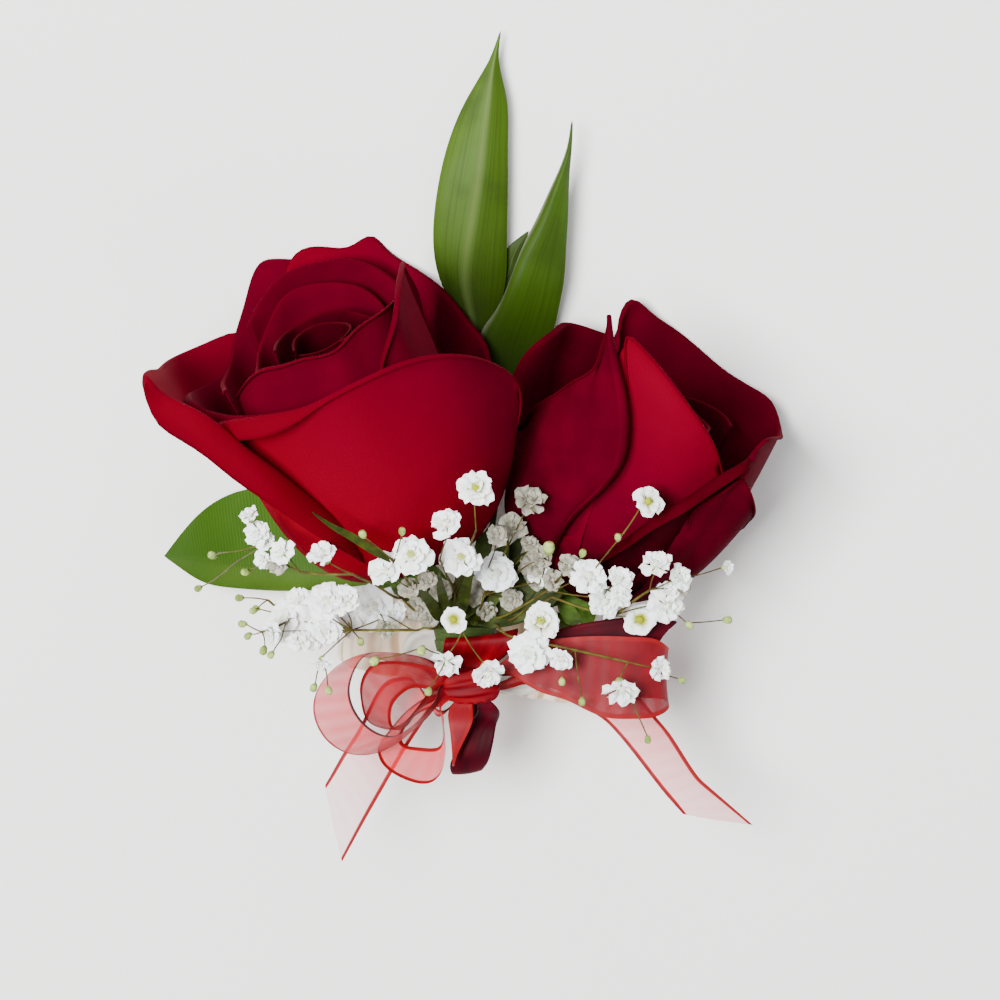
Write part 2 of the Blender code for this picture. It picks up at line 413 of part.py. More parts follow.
# Rings of a small flower from its cup to its centre, as shares of its radius: the reach of a
# petal, of the notch between two, the height, the number of points and the turn.
FLORET_RINGS = {
    "full": [(0.25, 0.25, -0.7, 5, 0), (1, 0.8, 0.1, 10, 0), (0.54, 0.54, 0.2, 5, 0),
             (0.62, 0.44, 0.46, 10, 0.3)],
    "half": [(0.22, 0.22, -0.8, 5, 0), (0.95, 0.72, 0.2, 10, 0), (0.42, 0.42, 0.28, 5, 0)],
    "bud": [(0.25, 0.25, -0.6, 5, 0), (0.6, 0.6, -0.05, 5, 0)],
}
FLORET_TIP = {"full": 0.3, "half": 0.15, "bud": 0.75}

# The stem binding that the stems go into, and the stems of the roses with their feet on it (x, z).
BINDING_X, BINDING_TOP, BINDING_BOTTOM = 3, 9, -7
BINDING_RADII = (6.5, 5.3)
BINDING_FOOT_RADII = (5.0, 4.4)
BINDING_RINGS, BINDING_SIDES = 5, 16
ROSE_STEM_RADIUS, ROSE_STEM_SIDES = 1.5, 6
LEFT_ROSE_FOOT, RIGHT_ROSE_FOOT = (0.2, -0.8), (6.2, -0.8)

# Fused pieces have no edge shorter than this.
SHORT_EDGE = 0.02

# The knot: its rings run from one tilt to the other and thin out to both ends.
KNOT_CENTRE, KNOT_HALF = (4.3, -3.2, 7.75), (5.7, 4.0, 2.0)
KNOT_TILT, KNOT_RINGS, KNOT_SIDES, KNOT_FULLNESS = 70, 7, 10, 0.6

# The wristlet: half its width, its height, the width of its band, how far the puffs stand out, and
# its section as shares of the band. It is flat where it faces up or down more than FACING_UP.
WRISTLET_CENTRE, WRISTLET_TURN = (2, -2.2), math.radians(-9)
WRISTLET_HALF_WIDTH, WRISTLET_HEIGHT, WRISTLET_BAND = 27, 18, 13
WRISTLET_THICKNESS, WRISTLET_PUFF, WRISTLET_PUFFS = 2.4, 1.2, 12
PUFF_STEPS, PUFF_ROUNDNESS, PUFF_INSET = 4, 0.7, 0.8
BAND_INNER, BAND_SHOULDER, BAND_SIDE, FACING_UP = 0.6, 0.7, 0.6, 0.999

# The plate's length, width and thickness.
PLATE_SIZE, PLATE_END_POINTS = (30, 11, 2.5), 7


def unit(vectors):
    # Vectors of length one
    return vectors / np.maximum(np.linalg.norm(vectors, axis=-1, keepdims=True), 1e-9)


def seen(x, y, z):
    # The place of a point read at (x, y) that lies at depth z
    scale = 1 - z / EYE_DISTANCE
    return np.array([EYE_X + (x - EYE_X) * scale, EYE_Y + (y - EYE_Y) * scale, z])


def spline(points, count):
    # Evenly spaced points of a natural cubic spline through a list of points
    knots = np.asarray(points, float)
    steps = np.linalg.norm(np.diff(knots[:, :3], axis=0), axis=1) ** 0.5
    at = np.concatenate([[0], np.cumsum(steps)])
    size = len(knots)
    system = np.eye(size)
    right = np.zeros_like(knots)
    for i in range(1, size - 1):
        before, after = steps[i - 1], steps[i]
        system[i, i - 1:i + 2] = before, 2 * (before + after), after
        right[i] = 6 * ((knots[i + 1] - knots[i]) / after - (knots[i] - knots[i - 1]) / before)
    bend = np.linalg.solve(system, right)
    where = np.linspace(0, at[-1], count)
    i = np.clip(np.searchsorted(at, where, "right") - 1, 0, size - 2)
    left, ahead = (at[i + 1] - where)[:, None], (where - at[i])[:, None]
    span = (at[i + 1] - at[i])[:, None]
    return ((bend[i] * left ** 3 + bend[i + 1] * ahead ** 3) / (6 * span)
            + (knots[i] / span - bend[i] * span / 6) * left
            + (knots[i + 1] / span - bend[i + 1] * span / 6) * ahead)


def rose_frame(rose):
    # The base, the axis, the direction to its right and the direction away from the eye
    tilt, rise = math.radians(rose["tilt"]), math.radians(rose["rise"])
    axis = np.array([math.cos(rise) * math.sin(tilt), math.cos(rise) * math.cos(tilt), math.sin(rise)])
    right = unit(np.array([1.0, 0, 0]) - axis[0] * axis)
    return np.array(rose["base"], float), axis, right, np.cross(axis, right)


def on_rose(rose, x, y, reach):
    # The point read at (x, y) that lies |reach| from the rose's axis, on the near or far side
    base, axis, _, _ = rose_frame(rose)
    depth = 0.0
    sight = np.array([0, 0, 1.0])
    sight_part = sight - sight @ axis * axis
    for _ in range(SIGHT_STEPS):
        flat = seen(x, y, depth) - base
        flat[2] = 0
        flat_part = flat - flat @ axis * axis
        a, b = sight_part @ sight_part, 2 * flat_part @ sight_part
        c = flat_part @ flat_part - reach * reach
        root = math.sqrt(max(b * b - 4 * a * c, 0))
        depth = base[2] + (-b + math.copysign(root, reach)) / (2 * a)
    return seen(x, y, depth)


def blend_rows(levels, values, at):
    # Cubic blend of rows of values that stand at the given levels
    slopes = np.gradient(values, levels, axis=0)
    rows = []
    for level in at:
        i = min(max(int(np.searchsorted(levels, level, "right")) - 1, 0), len(levels) - 2)
        span = levels[i + 1] - levels[i]
        t = (level - levels[i]) / span
        rows.append((2 * t ** 3 - 3 * t * t + 1) * values[i] + (t ** 3 - 2 * t * t + t) * span * slopes[i]
                    + (3 * t * t - 2 * t ** 3) * values[i + 1] + (t ** 3 - t * t) * span * slopes[i + 1])
    return np.stack(rows, 1)


def petal_grid(rose, petal, across, along, lip_rows):
    # Points of one petal, from its left edge to its right one and from its root to its lip
    base, axis, right, away = rose_frame(rose)
    rim = spline([[*on_rose(rose, *point[:3]), point[3]] for point in petal["rim"]], across)
    lip, rim = rim[:, 3], rim[:, :3] - base
    rim_height = rim @ axis
    rim_reach = np.linalg.norm(rim - rim_height[:, None] * axis, axis=1)
    turn = np.unwrap(np.arctan2(rim @ away, rim @ right))
    middle = (turn[0] + turn[-1]) / 2
    root_turn = middle + (turn - middle) * petal.get("rootSpread", ROOT_SPREAD)
    v = np.linspace(0, 1, along)[None, :]
    turns = root_turn[:, None] + (turn - root_turn)[:, None] * np.sin(np.pi / 2 * v)
    root_reach = np.full(across, PETAL_ROOT_RADIUS, float)
    root_height = np.full(across, PETAL_ROOT_HEIGHT, float)
    rise, spread = rim_height - root_height, rim_reach - root_reach
    chord = np.hypot(rise, spread)
    belly = np.sin(np.pi * v ** BELLY_SKEW) * petal.get("bulge", 0) * chord[:, None]
    reach = root_reach[:, None] + spread[:, None] * v + (rise / chord)[:, None] * belly
    height = root_height[:, None] + rise[:, None] * v - (spread / chord)[:, None] * belly
    height = np.maximum(height, PETAL_LOWEST)
    if "rows" in petal:
        levels, sets = [0], [(root_turn, root_height, root_reach)]
        for level, points in petal["rows"]:
            row = spline([on_rose(rose, *point) for point in points], across) - base
            row_turn = np.arctan2(row @ away, row @ right)
            row_turn = turn + np.mod(row_turn - turn + np.pi, 2 * np.pi) - np.pi
            row_height = row @ axis
            levels.append(level)
            sets.append((row_turn, row_height, np.linalg.norm(row - row_height[:, None] * axis, axis=1)))
        levels.append(1)
        sets.append((turn, rim_height, rim_reach))
        turns, height, reach = (blend_rows(np.array(levels), np.stack(rows), v[0]) for rows in zip(*sets))
    outward = np.cos(turns)[..., None] * right + np.sin(turns)[..., None] * away
    grid = base + height[..., None] * axis + reach[..., None] * outward
    rim_out = outward[:, -1]
    if "side" in petal:
        first, last, wide = petal["side"]
        edge = grid[-1]
        sideways = unit(edge - grid[-2])
        radial = unit(edge - base - ((edge - base) @ axis)[:, None] * axis)
        over = unit(radial - np.sum(radial * sideways, 1)[:, None] * sideways)
        width = wide * np.sin(np.pi * np.clip((v[0] - first) / (last - first), 0, 1)) ** SIDE_ROUNDNESS
        strip = edge + width[:, None] * (SIDE_OVER * over - SIDE_BACK * sideways)
        crest = edge + SIDE_CREST * width[:, None] * (over + sideways)
        grid = np.concatenate([grid, [crest], [strip]])
        lip = np.concatenate([lip, [0, 0]])
        rim_out = np.concatenate([rim_out, rim_out[-1:], rim_out[-1:]])
    upward = unit(grid[:, -1] - grid[:, -2])
    down_out = LIP_OUT * rim_out - LIP_DOWN * axis
    fold = unit(down_out - np.sum(down_out * upward, 1)[:, None] * upward)
    rows = [grid[:, -1]]
    for row in range(lip_rows):
        part = (row + 0.5) / lip_rows
        angle = math.radians(petal.get("lipTurn", LIP_TURN)) * (1 - (1 - part) ** petal.get("fold", LIP_FOLD))
        heading = math.cos(angle) * upward + math.sin(angle) * fold
        rows.append(rows[-1] + (lip / lip_rows)[:, None] * heading)
    return np.concatenate([grid, np.stack(rows[1:], 1)], 1)


def rose_depth(rose, x, y):
    # Depth of the near side of a rose at (x, y), or None where the rose isn't there
    base, axis, _, _ = rose_frame(rose)
    depths = np.arange(*ROSE_DEPTHS)
    points = seen(x, y, depths).T - base
    height = points @ axis
    reach = np.linalg.norm(points - height[:, None] * axis, axis=1)
    part = np.clip(1 - height / rose["round"], 0, 1)
    inside = reach < rose["radius"] * np.sqrt(1 - part ** 2) + ROSE_MARGIN
    inside &= (height > -ROSE_MARGIN) & (height < rose["top"])
    return depths[np.argmax(inside)] if inside.any() else None


def new_object(name, vertices, faces, material):
    # An object whose mesh is given in millimetres
    mesh = bpy.data.meshes.new(name)
    mesh.from_pydata([[c * MM for c in v] for v in vertices], [], faces)
    mesh.materials.append(material)
    obj = bpy.data.objects.new(name, mesh)
    bpy.context.scene.collection.objects.link(obj)
    return obj


def closed(obj):
    # Faces turned outward
    shape = bmesh.new()
    shape.from_mesh(obj.data)
    bmesh.ops.recalc_face_normals(shape, faces=shape.faces)
    shape.to_mesh(obj.data)
    shape.free()
    return obj


def sheet(name, grid, thickness, material):
    # A blade of even thickness over a grid of points, split alike on both faces
    rows, columns = grid.shape[:2]
    index = np.arange(rows * columns).reshape(rows, columns)
    faces = []
    for i in range(rows - 1):
        for j in range(columns - 1):
            a, b, c, d = index[i, j], index[i + 1, j], index[i + 1, j + 1], index[i, j + 1]
            faces += [(int(a), int(b), int(c)), (int(a), int(c), int(d))]
    obj = new_object(name, grid.reshape(-1, 3), faces, material)
    solid = obj.modifiers.new("thickness", "SOLIDIFY")
    solid.thickness = thickness * MM
    solid.offset = 0
    return obj


def bridge(lower, upper):
    # Triangles between two rings, of which the upper one may have twice or half as many points
    count = max(len(lower), len(upper))
    faces = []
    for i in range(count):
        j = (i + 1) % count
        a, b = lower[i * len(lower) // count], lower[j * len(lower) // count]
        c, d = upper[i * len(upper) // count], upper[j * len(upper) // count]
        if a != b:
            faces.append((a, b, d))
        if c != d:
            faces.append((a, d, c))
    return faces


def ringed(name, rings, material, tip=None):
    # A closed solid over rings of points, ended by a point or a flat cap
    vertices, faces, before = [], [], None
    for ring in rings:
        now = list(range(len(vertices), len(vertices) + len(ring)))
        vertices += [tuple(point) for point in ring]
        if before is None:
            faces.append(tuple(reversed(now)))
        else:
            faces += bridge(before, now)
        before = now
    if tip is None:
        faces.append(tuple(before))
    else:
        vertices.append(tuple(tip))
        faces += [(before[i - 1], before[i], len(vertices) - 1) for i in range(len(before))]
    return closed(new_object(name, vertices, faces, material))


def circle(centre, first, second, radii, sides, phase=0):
    # Points round a centre in the plane of two directions
    turns = np.arange(sides) * 2 * math.pi / sides + phase
    return [centre + math.cos(t) * radii[0] * first + math.sin(t) * radii[1] * second for t in turns]


def across_of(direction):
    # Two directions at right angles to a third
    helper = np.array([0, 0, 1.0]) if abs(direction[2]) < 0.8 else np.array([0, 1.0, 0])
    first = unit(np.cross(direction, helper))
    return first, np.cross(direction, first)


def tube(name, points, radii, sides, material):
    # A stem through a list of points
    points = np.asarray(points, float)
    along = unit(np.gradient(points, axis=0))
    first, _ = across_of(along[0])
    rings = []
    for point, direction, radius in zip(points, along, np.broadcast_to(radii, len(points))):
        first = unit(first - first @ direction * direction)
        rings.append(circle(point, first, np.cross(direction, first), (radius, radius), sides))
    return ringed(name, rings, material)


def turned(name, base, axis, profile, sides, material):
    # A closed solid turned about an axis, from pairs of height and radius
    first, second = across_of(axis)
    rings = [circle(base + axis * height, first, second, (radius, radius), sides)
             for height, radius in profile]
    return ringed(name, rings, material)


def evaluated(obj):
    # The object's mesh with its modifiers applied
    graph = bpy.context.evaluated_depsgraph_get()
    mesh = bpy.data.meshes.new_from_object(obj.evaluated_get(graph))
    obj.modifiers.clear()
    obj.data = mesh
    return mesh


def part_doubled_edges(shape):
    # Where four triangles meet in one edge, two that lie in one plane get a point of their own
    shape.normal_update()
    for edge in [e for e in shape.edges if len(e.link_faces) > 2]:
        first = edge.link_faces[0]
        second = max(list(edge.link_faces)[1:], key=lambda face: face.normal.dot(first.normal))
        middle = shape.verts.new((edge.verts[0].co + edge.verts[1].co) / 2)
        for face in (first, second):
            corners = list(face.verts)
            while corners[2] in edge.verts:
                corners = corners[1:] + corners[:1]
            shape.faces.new((corners[0], middle, corners[2]))
            shape.faces.new((middle, corners[1], corners[2]))
        bmesh.ops.delete(shape, geom=[first, second], context="FACES_ONLY")


def drop_short_edges(shape):
    # Edges too short to matter are closed up, where that leaves the surface whole
    dropped = True
    while dropped:
        dropped = False
        for edge in [e for e in shape.edges if e.calc_length() < SHORT_EDGE * MM]:
            if not edge.is_valid:
                continue
            first, second = edge.verts
            around = [{e.other_vert(v) for e in v.link_edges} for v in (first, second)]
            if len(around[0] & around[1]) == 2:
                bmesh.ops.pointmerge(shape, verts=[first, second], merge_co=second.co.copy())
                dropped = True


def keep_body(mesh):
    # The largest body alone: fused walls leave no sealed hollow and no loose scrap
    shape = bmesh.new()
    shape.from_mesh(mesh)
    left, bodies = set(shape.faces), []
    while left:
        body, edge_on = [], [left.pop()]
        while edge_on:
            face = edge_on.pop()
            body.append(face)
            for edge in face.edges:
                for other in edge.link_faces:
                    if other in left:
                        left.remove(other)
                        edge_on.append(other)
        bodies.append(body)
    bodies.sort(key=len)
    bmesh.ops.delete(shape, geom=[face for body in bodies[:-1] for face in body], context="FACES")
    loose = [vertex for vertex in shape.verts if not vertex.link_faces]
    bmesh.ops.delete(shape, geom=loose, context="VERTS")
    bmesh.ops.triangulate(shape, faces=shape.faces)
    part_doubled_edges(shape)
    drop_short_edges(shape)
    shape.to_mesh(mesh)
    shape.free()


def fused(name, pieces, solver="EXACT"):
    # One body out of overlapping pieces
    others = bpy.data.collections.new(name + "_pieces")
    bpy.context.scene.collection.children.link(others)
    body = pieces[0]
    for piece in pieces[1:]:
        bpy.context.scene.collection.objects.unlink(piece)
        others.objects.link(piece)
    union = body.modifiers.new("union", "BOOLEAN")
    union.operation = "UNION"
    union.operand_type = "COLLECTION"
    union.collection = others
    union.solver = solver
    mesh = evaluated(body)
    for piece in list(others.objects):
        bpy.data.objects.remove(piece, do_unlink=True)
    bpy.data.collections.remove(others)
    keep_body(mesh)
    body.name = name
    mesh.name = name
    return body


def material(name, colour, roughness=0.6, metallic=0.0):
    # A plain Principled material
    result = bpy.data.materials.new(name)
    result.use_nodes = True
    shader = result.node_tree.nodes["Principled BSDF"]
    shader.inputs["Base Color"].default_value = (*colour, 1)
    shader.inputs["Roughness"].default_value = roughness
    shader.inputs["Metallic"].default_value = metallic
    return result


def rose_bloom(name, rose, petals, core, look):
    # All the petals of one rose on a small heart
    base, axis, _, _ = rose_frame(rose)
    pieces = [turned(name, base, axis, core, HEART_SIDES, look)]
    for title, petal in petals.items():
        grid = petal_grid(rose, petal, PETAL_ACROSS, PETAL_ALONG, 1)
        pieces.append(sheet(name + "_" + title, grid, PETAL_THICKNESS, look))
    return fused(name, pieces, "MANIFOLD")


def stem_foot(foot):
    # Where a stem or stalk ends, just above the top of the stem binding
    return np.array([foot[0], BINDING_TOP + SEAT_GAP, foot[1]])


def rose_calyx(name, rose, foot, look):
    # The hip under a rose with its sepals bent back, and the taped stem down to the binding
    base, axis, right, away = rose_frame(rose)
    pieces = [turned(name, base, axis, HIP, CALYX_SIDES, look)]
    for turn in np.arange(SEPALS) * 2 * math.pi / SEPALS:
        out = math.cos(turn) * right + math.sin(turn) * away
        side = np.cross(axis, out)
        grid = np.array([[base + axis * height + out * reach + side * width * k for k in (-1, 0, 1)]
                         for reach, height, width in SEPAL_ROWS])
        pieces.append(sheet(name + "_sepal", grid, LEAF_THICKNESS, look))
    start, low = base - axis * STEM_START, stem_foot(foot)
    path = [start, start - axis * STEM_STRAIGHT, (start + low) / 2 + np.array(STEM_LIFT),
            low + np.array([0, ROSE_STEM_RADIUS * 2, 0]), low]
    pieces.append(tube(name + "_stem", path, ROSE_STEM_RADIUS, ROSE_STEM_SIDES, look))
    return fused(name, pieces, "MANIFOLD")


def leaf_grid(rows, count, across):
    # Points of a leaf's blade, row by row from its tip, and its midrib
    edges = []
    for left_x, left_y, mid_x, mid_y, right_x, right_y, depth, ridge in rows:
        edges.append([*seen(mid_x, mid_y, depth + ridge), *seen(left_x, left_y, depth),
                      *seen(right_x, right_y, depth)])
    even = spline(edges, count)
    middle, left, right = even[:, :3], even[:, 3:6], even[:, 6:]
    t = np.linspace(-1, 1, across)[None, :, None]
    half, arch = (right - left)[:, None] / 2, ((left + right) / 2 - middle)[:, None]
    return middle[:, None] + half * t + arch * t * t, middle


def leaf(name, rows, stalk, look):
    # A leaf's blade and the stalk that runs down to the binding
    grid, middle = leaf_grid(rows, LEAF_ROWS, LEAF_ACROSS)
    grid[0] = grid[0].mean(axis=0) + (grid[1] - grid[1].mean(axis=0)) * LEAF_TIP
    foot, by = stalk
    low = stem_foot(foot)
    above = low + np.array([0, STALK_STRAIGHT, 0])
    path = [*spline([middle[-2], middle[-1], by, above], STALK_POINTS), low]
    pieces = [sheet(name, grid, LEAF_THICKNESS, look),
              tube(name + "_stalk", path, STALK_RADIUS, STALK_SIDES, look)]
    return fused(name, pieces)


def ribbon(name, rows, look):
    # A strip of ribbon between its two edges
    points = [[*seen(a, b, c), *seen(d, e, f)] for a, b, c, d, e, f in rows]
    even = spline(points, int(len(rows) * RIBBON_STEPS))
    grid = np.stack([even[:, :3], even[:, 3:]], 1)
    obj = sheet(name, grid, RIBBON_THICKNESS, look)
    evaluated(obj)
    return obj


def ground(x, y):
    # Depth of what lies under the small flowers: the roses, the bow and the stems
    depths = [rose_depth(rose, x, y) for rose in (LEFT_ROSE, RIGHT_ROSE)]
    if y < BOW_TOP:
        depths.append(BOW_DEPTH)
    if x < LOOP_RIGHT and y < LOOP_TOP:
        depths.append(BOW_LOOP_DEPTH)
    return max([depth for depth in depths if depth is not None] + [STEM_DEPTH])


def spray_points(spray):
    # The place of every fork, flower and bud of a spray
    return [seen(x, y, ground(x, y) + lift) for _, x, y, lift, *_ in spray[1]]


def stem_path(start, end):
    # A stem from one point to another, held clear of what lies under it
    count = SHORT_POINTS if np.linalg.norm(end - start) < STEM_SHORT else LONG_POINTS
    path = []
    for part in np.linspace(0, 1, count):
        point = start + (end - start) * part
        if 0 < part < 1:
            x = EYE_X + (point[0] - EYE_X) / (1 - point[2] / EYE_DISTANCE)
            y = EYE_Y + (point[1] - EYE_Y) / (1 - point[2] / EYE_DISTANCE)
            point[2] = max(point[2], ground(x, y) + STEM_CLEARANCE)
        path.append(point)
    return path


def floret(name, centre, facing, kind, size, look):
    # A double flower, a half-open one or a bud, each on its green cup
    first, second = across_of(facing)
    radius = size / 2
    rings = []
    for reach, notch, height, sides, phase in FLORET_RINGS[kind]:
        turns = np.arange(sides) * 2 * math.pi / sides + phase
        reaches = [reach if i % 2 == 0 else notch for i in range(sides)]
        rings.append([centre + radius * (height * facing + r * (math.cos(t) * first + math.sin(t) * second))
                      for t, r in zip(turns, reaches)])
    return ringed(name, rings, look, centre + radius * FLORET_TIP[kind] * facing)


def narrow_leaf(name, path, width, look):
    # A grass-like leaf that grows from a stem
    grid = []
    for share, point, along in zip(LEAF_SHARES, path, unit(np.gradient(np.array(path), axis=0))):
        side = unit(np.cross(along, np.array([0, 0, 1.0])))
        grid.append([point - side * width * share / 2, point + side * width * share / 2])
    return sheet(name, np.array(grid), LEAF_THICKNESS, look)


def spray(name, spec, look):
    # One spray: stems from the binding, with their flowers and buds
    foot, items = spec
    points = spray_points(spec)
    low = stem_foot(foot)
    pieces = []
    for (parent, _, _, _, kind, size, lean_x, lean_y), point in zip(items, points):
        start = low if parent < 0 else points[parent]
        facing = unit(np.array([lean_x, lean_y, FLORET_LEAN]))
        end = point if kind == "fork" else point - facing * size * FLORET_SINK
        path = stem_path(start, end)
        if kind == "blade":
            pieces.append(narrow_leaf(name + "_blade", path, size, look))
            continue
        if parent < 0:
            path.insert(1, low + np.array([0, RISE_DOWN if point[1] < BINDING_TOP else RISE_UP, 0]))
        pieces.append(tube(name + "_stem", path, STEM_RADIUS, STEM_SIDES, look))
        if kind != "fork":
            pieces.append(floret(name + "_" + kind, point, facing, kind, size, look))
    return fused(name, pieces, "MANIFOLD")


def stem_binding(look):
    # Stems wound with tape, oval in section and narrower below
    rings = []
    for part in np.linspace(0, 1, BINDING_RINGS):
        radii = [a + (b - a) * part for a, b in zip(BINDING_FOOT_RADII, BINDING_RADII)]
        centre = np.array([BINDING_X, BINDING_BOTTOM + (BINDING_TOP - BINDING_BOTTOM) * part, 0])
        rings.append(circle(centre, np.array([1.0, 0, 0]), np.array([0, 0, 1.0]), radii, BINDING_SIDES))
    return ringed("stem_binding", rings, look)


def knot(look):
    # The bow's knot: a plump wrap of ribbon
    rings = []
    for tilt in np.linspace(-KNOT_TILT, KNOT_TILT, KNOT_RINGS):
        angle = math.radians(tilt)
        centre = np.array(KNOT_CENTRE) + np.array([KNOT_HALF[0] * math.sin(angle), 0, 0])
        reach = math.cos(angle) ** KNOT_FULLNESS
        rings.append(circle(centre, np.array([0, 1.0, 0]), np.array([0, 0, 1.0]),
                            (KNOT_HALF[1] * reach, KNOT_HALF[2] * reach), KNOT_SIDES))
    return ringed("bow_knot", rings, look)


def wristlet_point(s):
    # Place and outward direction on the wristlet's inner line, as a share of its way round
    end_radius = WRISTLET_HEIGHT / 2 - WRISTLET_THICKNESS
    straight = 2 * (WRISTLET_HALF_WIDTH - WRISTLET_HEIGHT / 2)
    lengths = [straight / 2, math.pi * end_radius, straight, math.pi * end_radius, straight / 2]
    way = s * sum(lengths)
    middle = WRISTLET_HEIGHT / 2
    for leg, length in enumerate(lengths):
        if way <= length or leg == 4:
            break
        way -= length
    if leg in (0, 4):
        x = way if leg == 0 else way - straight / 2
        return np.array([x, middle - end_radius]), np.array([0, -1.0])
    if leg == 2:
        return np.array([straight / 2 - way, middle + end_radius]), np.array([0, 1.0])
    turn = way / end_radius - math.pi / 2 if leg == 1 else way / end_radius + math.pi / 2
    out = np.array([math.cos(turn), math.sin(turn)])
    return np.array([straight / 2 if leg == 1 else -straight / 2, middle]) + out * end_radius, out


def wristlet(look):
    # An elastic band gathered into puffs, flat where it lies and where the plate sits
    sections = WRISTLET_PUFFS * PUFF_STEPS
    vertices, faces = [], []
    for k in range(sections):
        point, out = wristlet_point(k / sections)
        puff = abs(math.sin(math.pi * WRISTLET_PUFFS * k / sections)) ** PUFF_ROUNDNESS
        flat = abs(out[1]) > FACING_UP
        outer = WRISTLET_THICKNESS + (0 if flat else WRISTLET_PUFF * puff)
        half = WRISTLET_BAND / 2 - (0 if flat else PUFF_INSET * (1 - puff))
        inner, shoulder, side = half * BAND_INNER, half * BAND_SHOULDER, outer * BAND_SIDE
        section = [(-half, 0), (-inner, 0), (inner, 0), (half, 0),
                   (half, side), (shoulder, outer), (-shoulder, outer), (-half, side)]
        for y, depth in section:
            x, z = point + out * depth
            vertices.append((x, y, min(max(z, 0), WRISTLET_HEIGHT)))
        sides = len(section)
        for j in range(sides):
            a, b = k * sides + j, k * sides + (j + 1) % sides
            c, d = (k + 1) % sections * sides + (j + 1) % sides, (k + 1) % sections * sides + j
            faces.append((a, b, c, d))
    obj = closed(new_object("wristlet_band", vertices, faces, look))
    shape = bmesh.new()
    shape.from_mesh(obj.data)
    bmesh.ops.triangulate(shape, faces=shape.faces)
    shape.to_mesh(obj.data)
    shape.free()
    return obj


def plate(look):
    # The oblong plate that carries the stem binding
    long, wide, thick = PLATE_SIZE
    rings = []
    for height in (0, thick):
        ring = []
        for end in (1, -1):
            for turn in np.linspace(-math.pi / 2, math.pi / 2, PLATE_END_POINTS):
                ring.append((end * ((long - wide) / 2 + wide / 2 * math.cos(turn)),
                             end * wide / 2 * math.sin(turn), WRISTLET_HEIGHT + SEAT_GAP + height))
        rings.append(ring)
    return ringed("wristlet_plate", rings, look)


def build():
    for obj in list(bpy.data.objects):
        bpy.data.objects.remove(obj, do_unlink=True)
    red = material("rose_petal", (0.22, 0.002, 0.012), 0.6)
    green = material("rose_green", (0.10, 0.18, 0.05), 0.7)
    leaf_green = material("leaf", (0.16, 0.28, 0.05), 0.5)
    white = material("small_flower", (0.85, 0.87, 0.80), 0.7)
    sheer = material("sheer_ribbon", (0.60, 0.03, 0.04), 0.5)
    satin = material("satin_ribbon", (0.22, 0.0, 0.015), 0.35)
    tape = material("stem_tape", (0.12, 0.20, 0.06), 0.75)
    band_look = material("wristlet_satin", (0.80, 0.72, 0.60), 0.5)
    plate_look = material("plate_plastic", (0.80, 0.80, 0.76), 0.4)

    flowers = bpy.data.objects.new("flowers", None)
    bpy.context.scene.collection.objects.link(flowers)
    flowers.location = (-BINDING_X * MM, FLOWERS_Y * MM, BINDING_HEIGHT * MM)
    flowers.rotation_euler = (-HEAD_DROP, 0, 0)
    hung = [
        rose_bloom("rose_left_bloom", LEFT_ROSE, LEFT_PETALS, LEFT_HEART, red),
        rose_bloom("rose_right_bloom", RIGHT_ROSE, RIGHT_PETALS, RIGHT_HEART, red),
        rose_calyx("rose_left_calyx", LEFT_ROSE, LEFT_ROSE_FOOT, green),
        rose_calyx("rose_right_calyx", RIGHT_ROSE, RIGHT_ROSE_FOOT, green),
        stem_binding(tape),
        knot(satin),
    ]
    hung += [leaf(name, rows, STALKS[name], leaf_green) for name, rows in LEAVES.items()]
    hung += [ribbon(name, rows, satin if name.startswith("satin") else sheer)
             for name, rows in RIBBONS.items()]
    hung += [spray(name, spec, white) for name, spec in SPRAYS.items()]
    for obj in hung:
        obj.parent = flowers
    for obj in (wristlet(band_look), plate(plate_look)):
        obj.location = (WRISTLET_CENTRE[0] * MM, WRISTLET_CENTRE[1] * MM, 0)
        obj.rotation_euler = (0, 0, WRISTLET_TURN)


build()
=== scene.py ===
# Wrist corsage: two red roses, sprigs of small white flowers, leaves and a red organza bow,
# bound to a plate on a ruched wristlet. It lies on the wristlet and on both rose heads.
# Pieces are drawn in the flower frame, in millimetres: x to the right, y up the flowers, z towards
# the eye, from a point in the stem binding. inWorld() turns that into the model's metres.
import math

import bmesh
import bpy
import numpy as np
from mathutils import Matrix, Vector


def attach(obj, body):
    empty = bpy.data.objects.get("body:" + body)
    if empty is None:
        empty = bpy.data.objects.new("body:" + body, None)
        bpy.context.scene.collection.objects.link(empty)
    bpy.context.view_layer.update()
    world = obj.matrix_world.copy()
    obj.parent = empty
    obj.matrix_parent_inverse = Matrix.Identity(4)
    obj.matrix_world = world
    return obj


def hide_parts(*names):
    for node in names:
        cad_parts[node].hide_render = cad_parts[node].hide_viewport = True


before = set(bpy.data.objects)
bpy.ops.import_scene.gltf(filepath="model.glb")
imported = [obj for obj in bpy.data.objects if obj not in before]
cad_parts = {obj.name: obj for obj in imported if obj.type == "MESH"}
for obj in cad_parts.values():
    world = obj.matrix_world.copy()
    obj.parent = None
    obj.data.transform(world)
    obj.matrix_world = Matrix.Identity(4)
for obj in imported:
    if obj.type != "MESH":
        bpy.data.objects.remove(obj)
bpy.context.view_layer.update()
print("frame loaded")

# The flower frame: its place and tilt in the model, and the eye that the outlines were read from.
flowerFrame = {"shift": (-3, -1.5, 27.7), "drop": math.radians(13), "eye": (10, 33.6), "distance": 1000}


def inWorld(points):
    # Flower frame in mm to the model's metres: a turn about x by the drop, then a shift
    c, s = math.cos(flowerFrame["drop"]), math.sin(flowerFrame["drop"])
    x, y, z = np.moveaxis(np.asarray(points, float), -1, 0)
    return (np.stack([x, y * c + z * s, z * c - y * s], -1) + flowerFrame["shift"]) / 1000


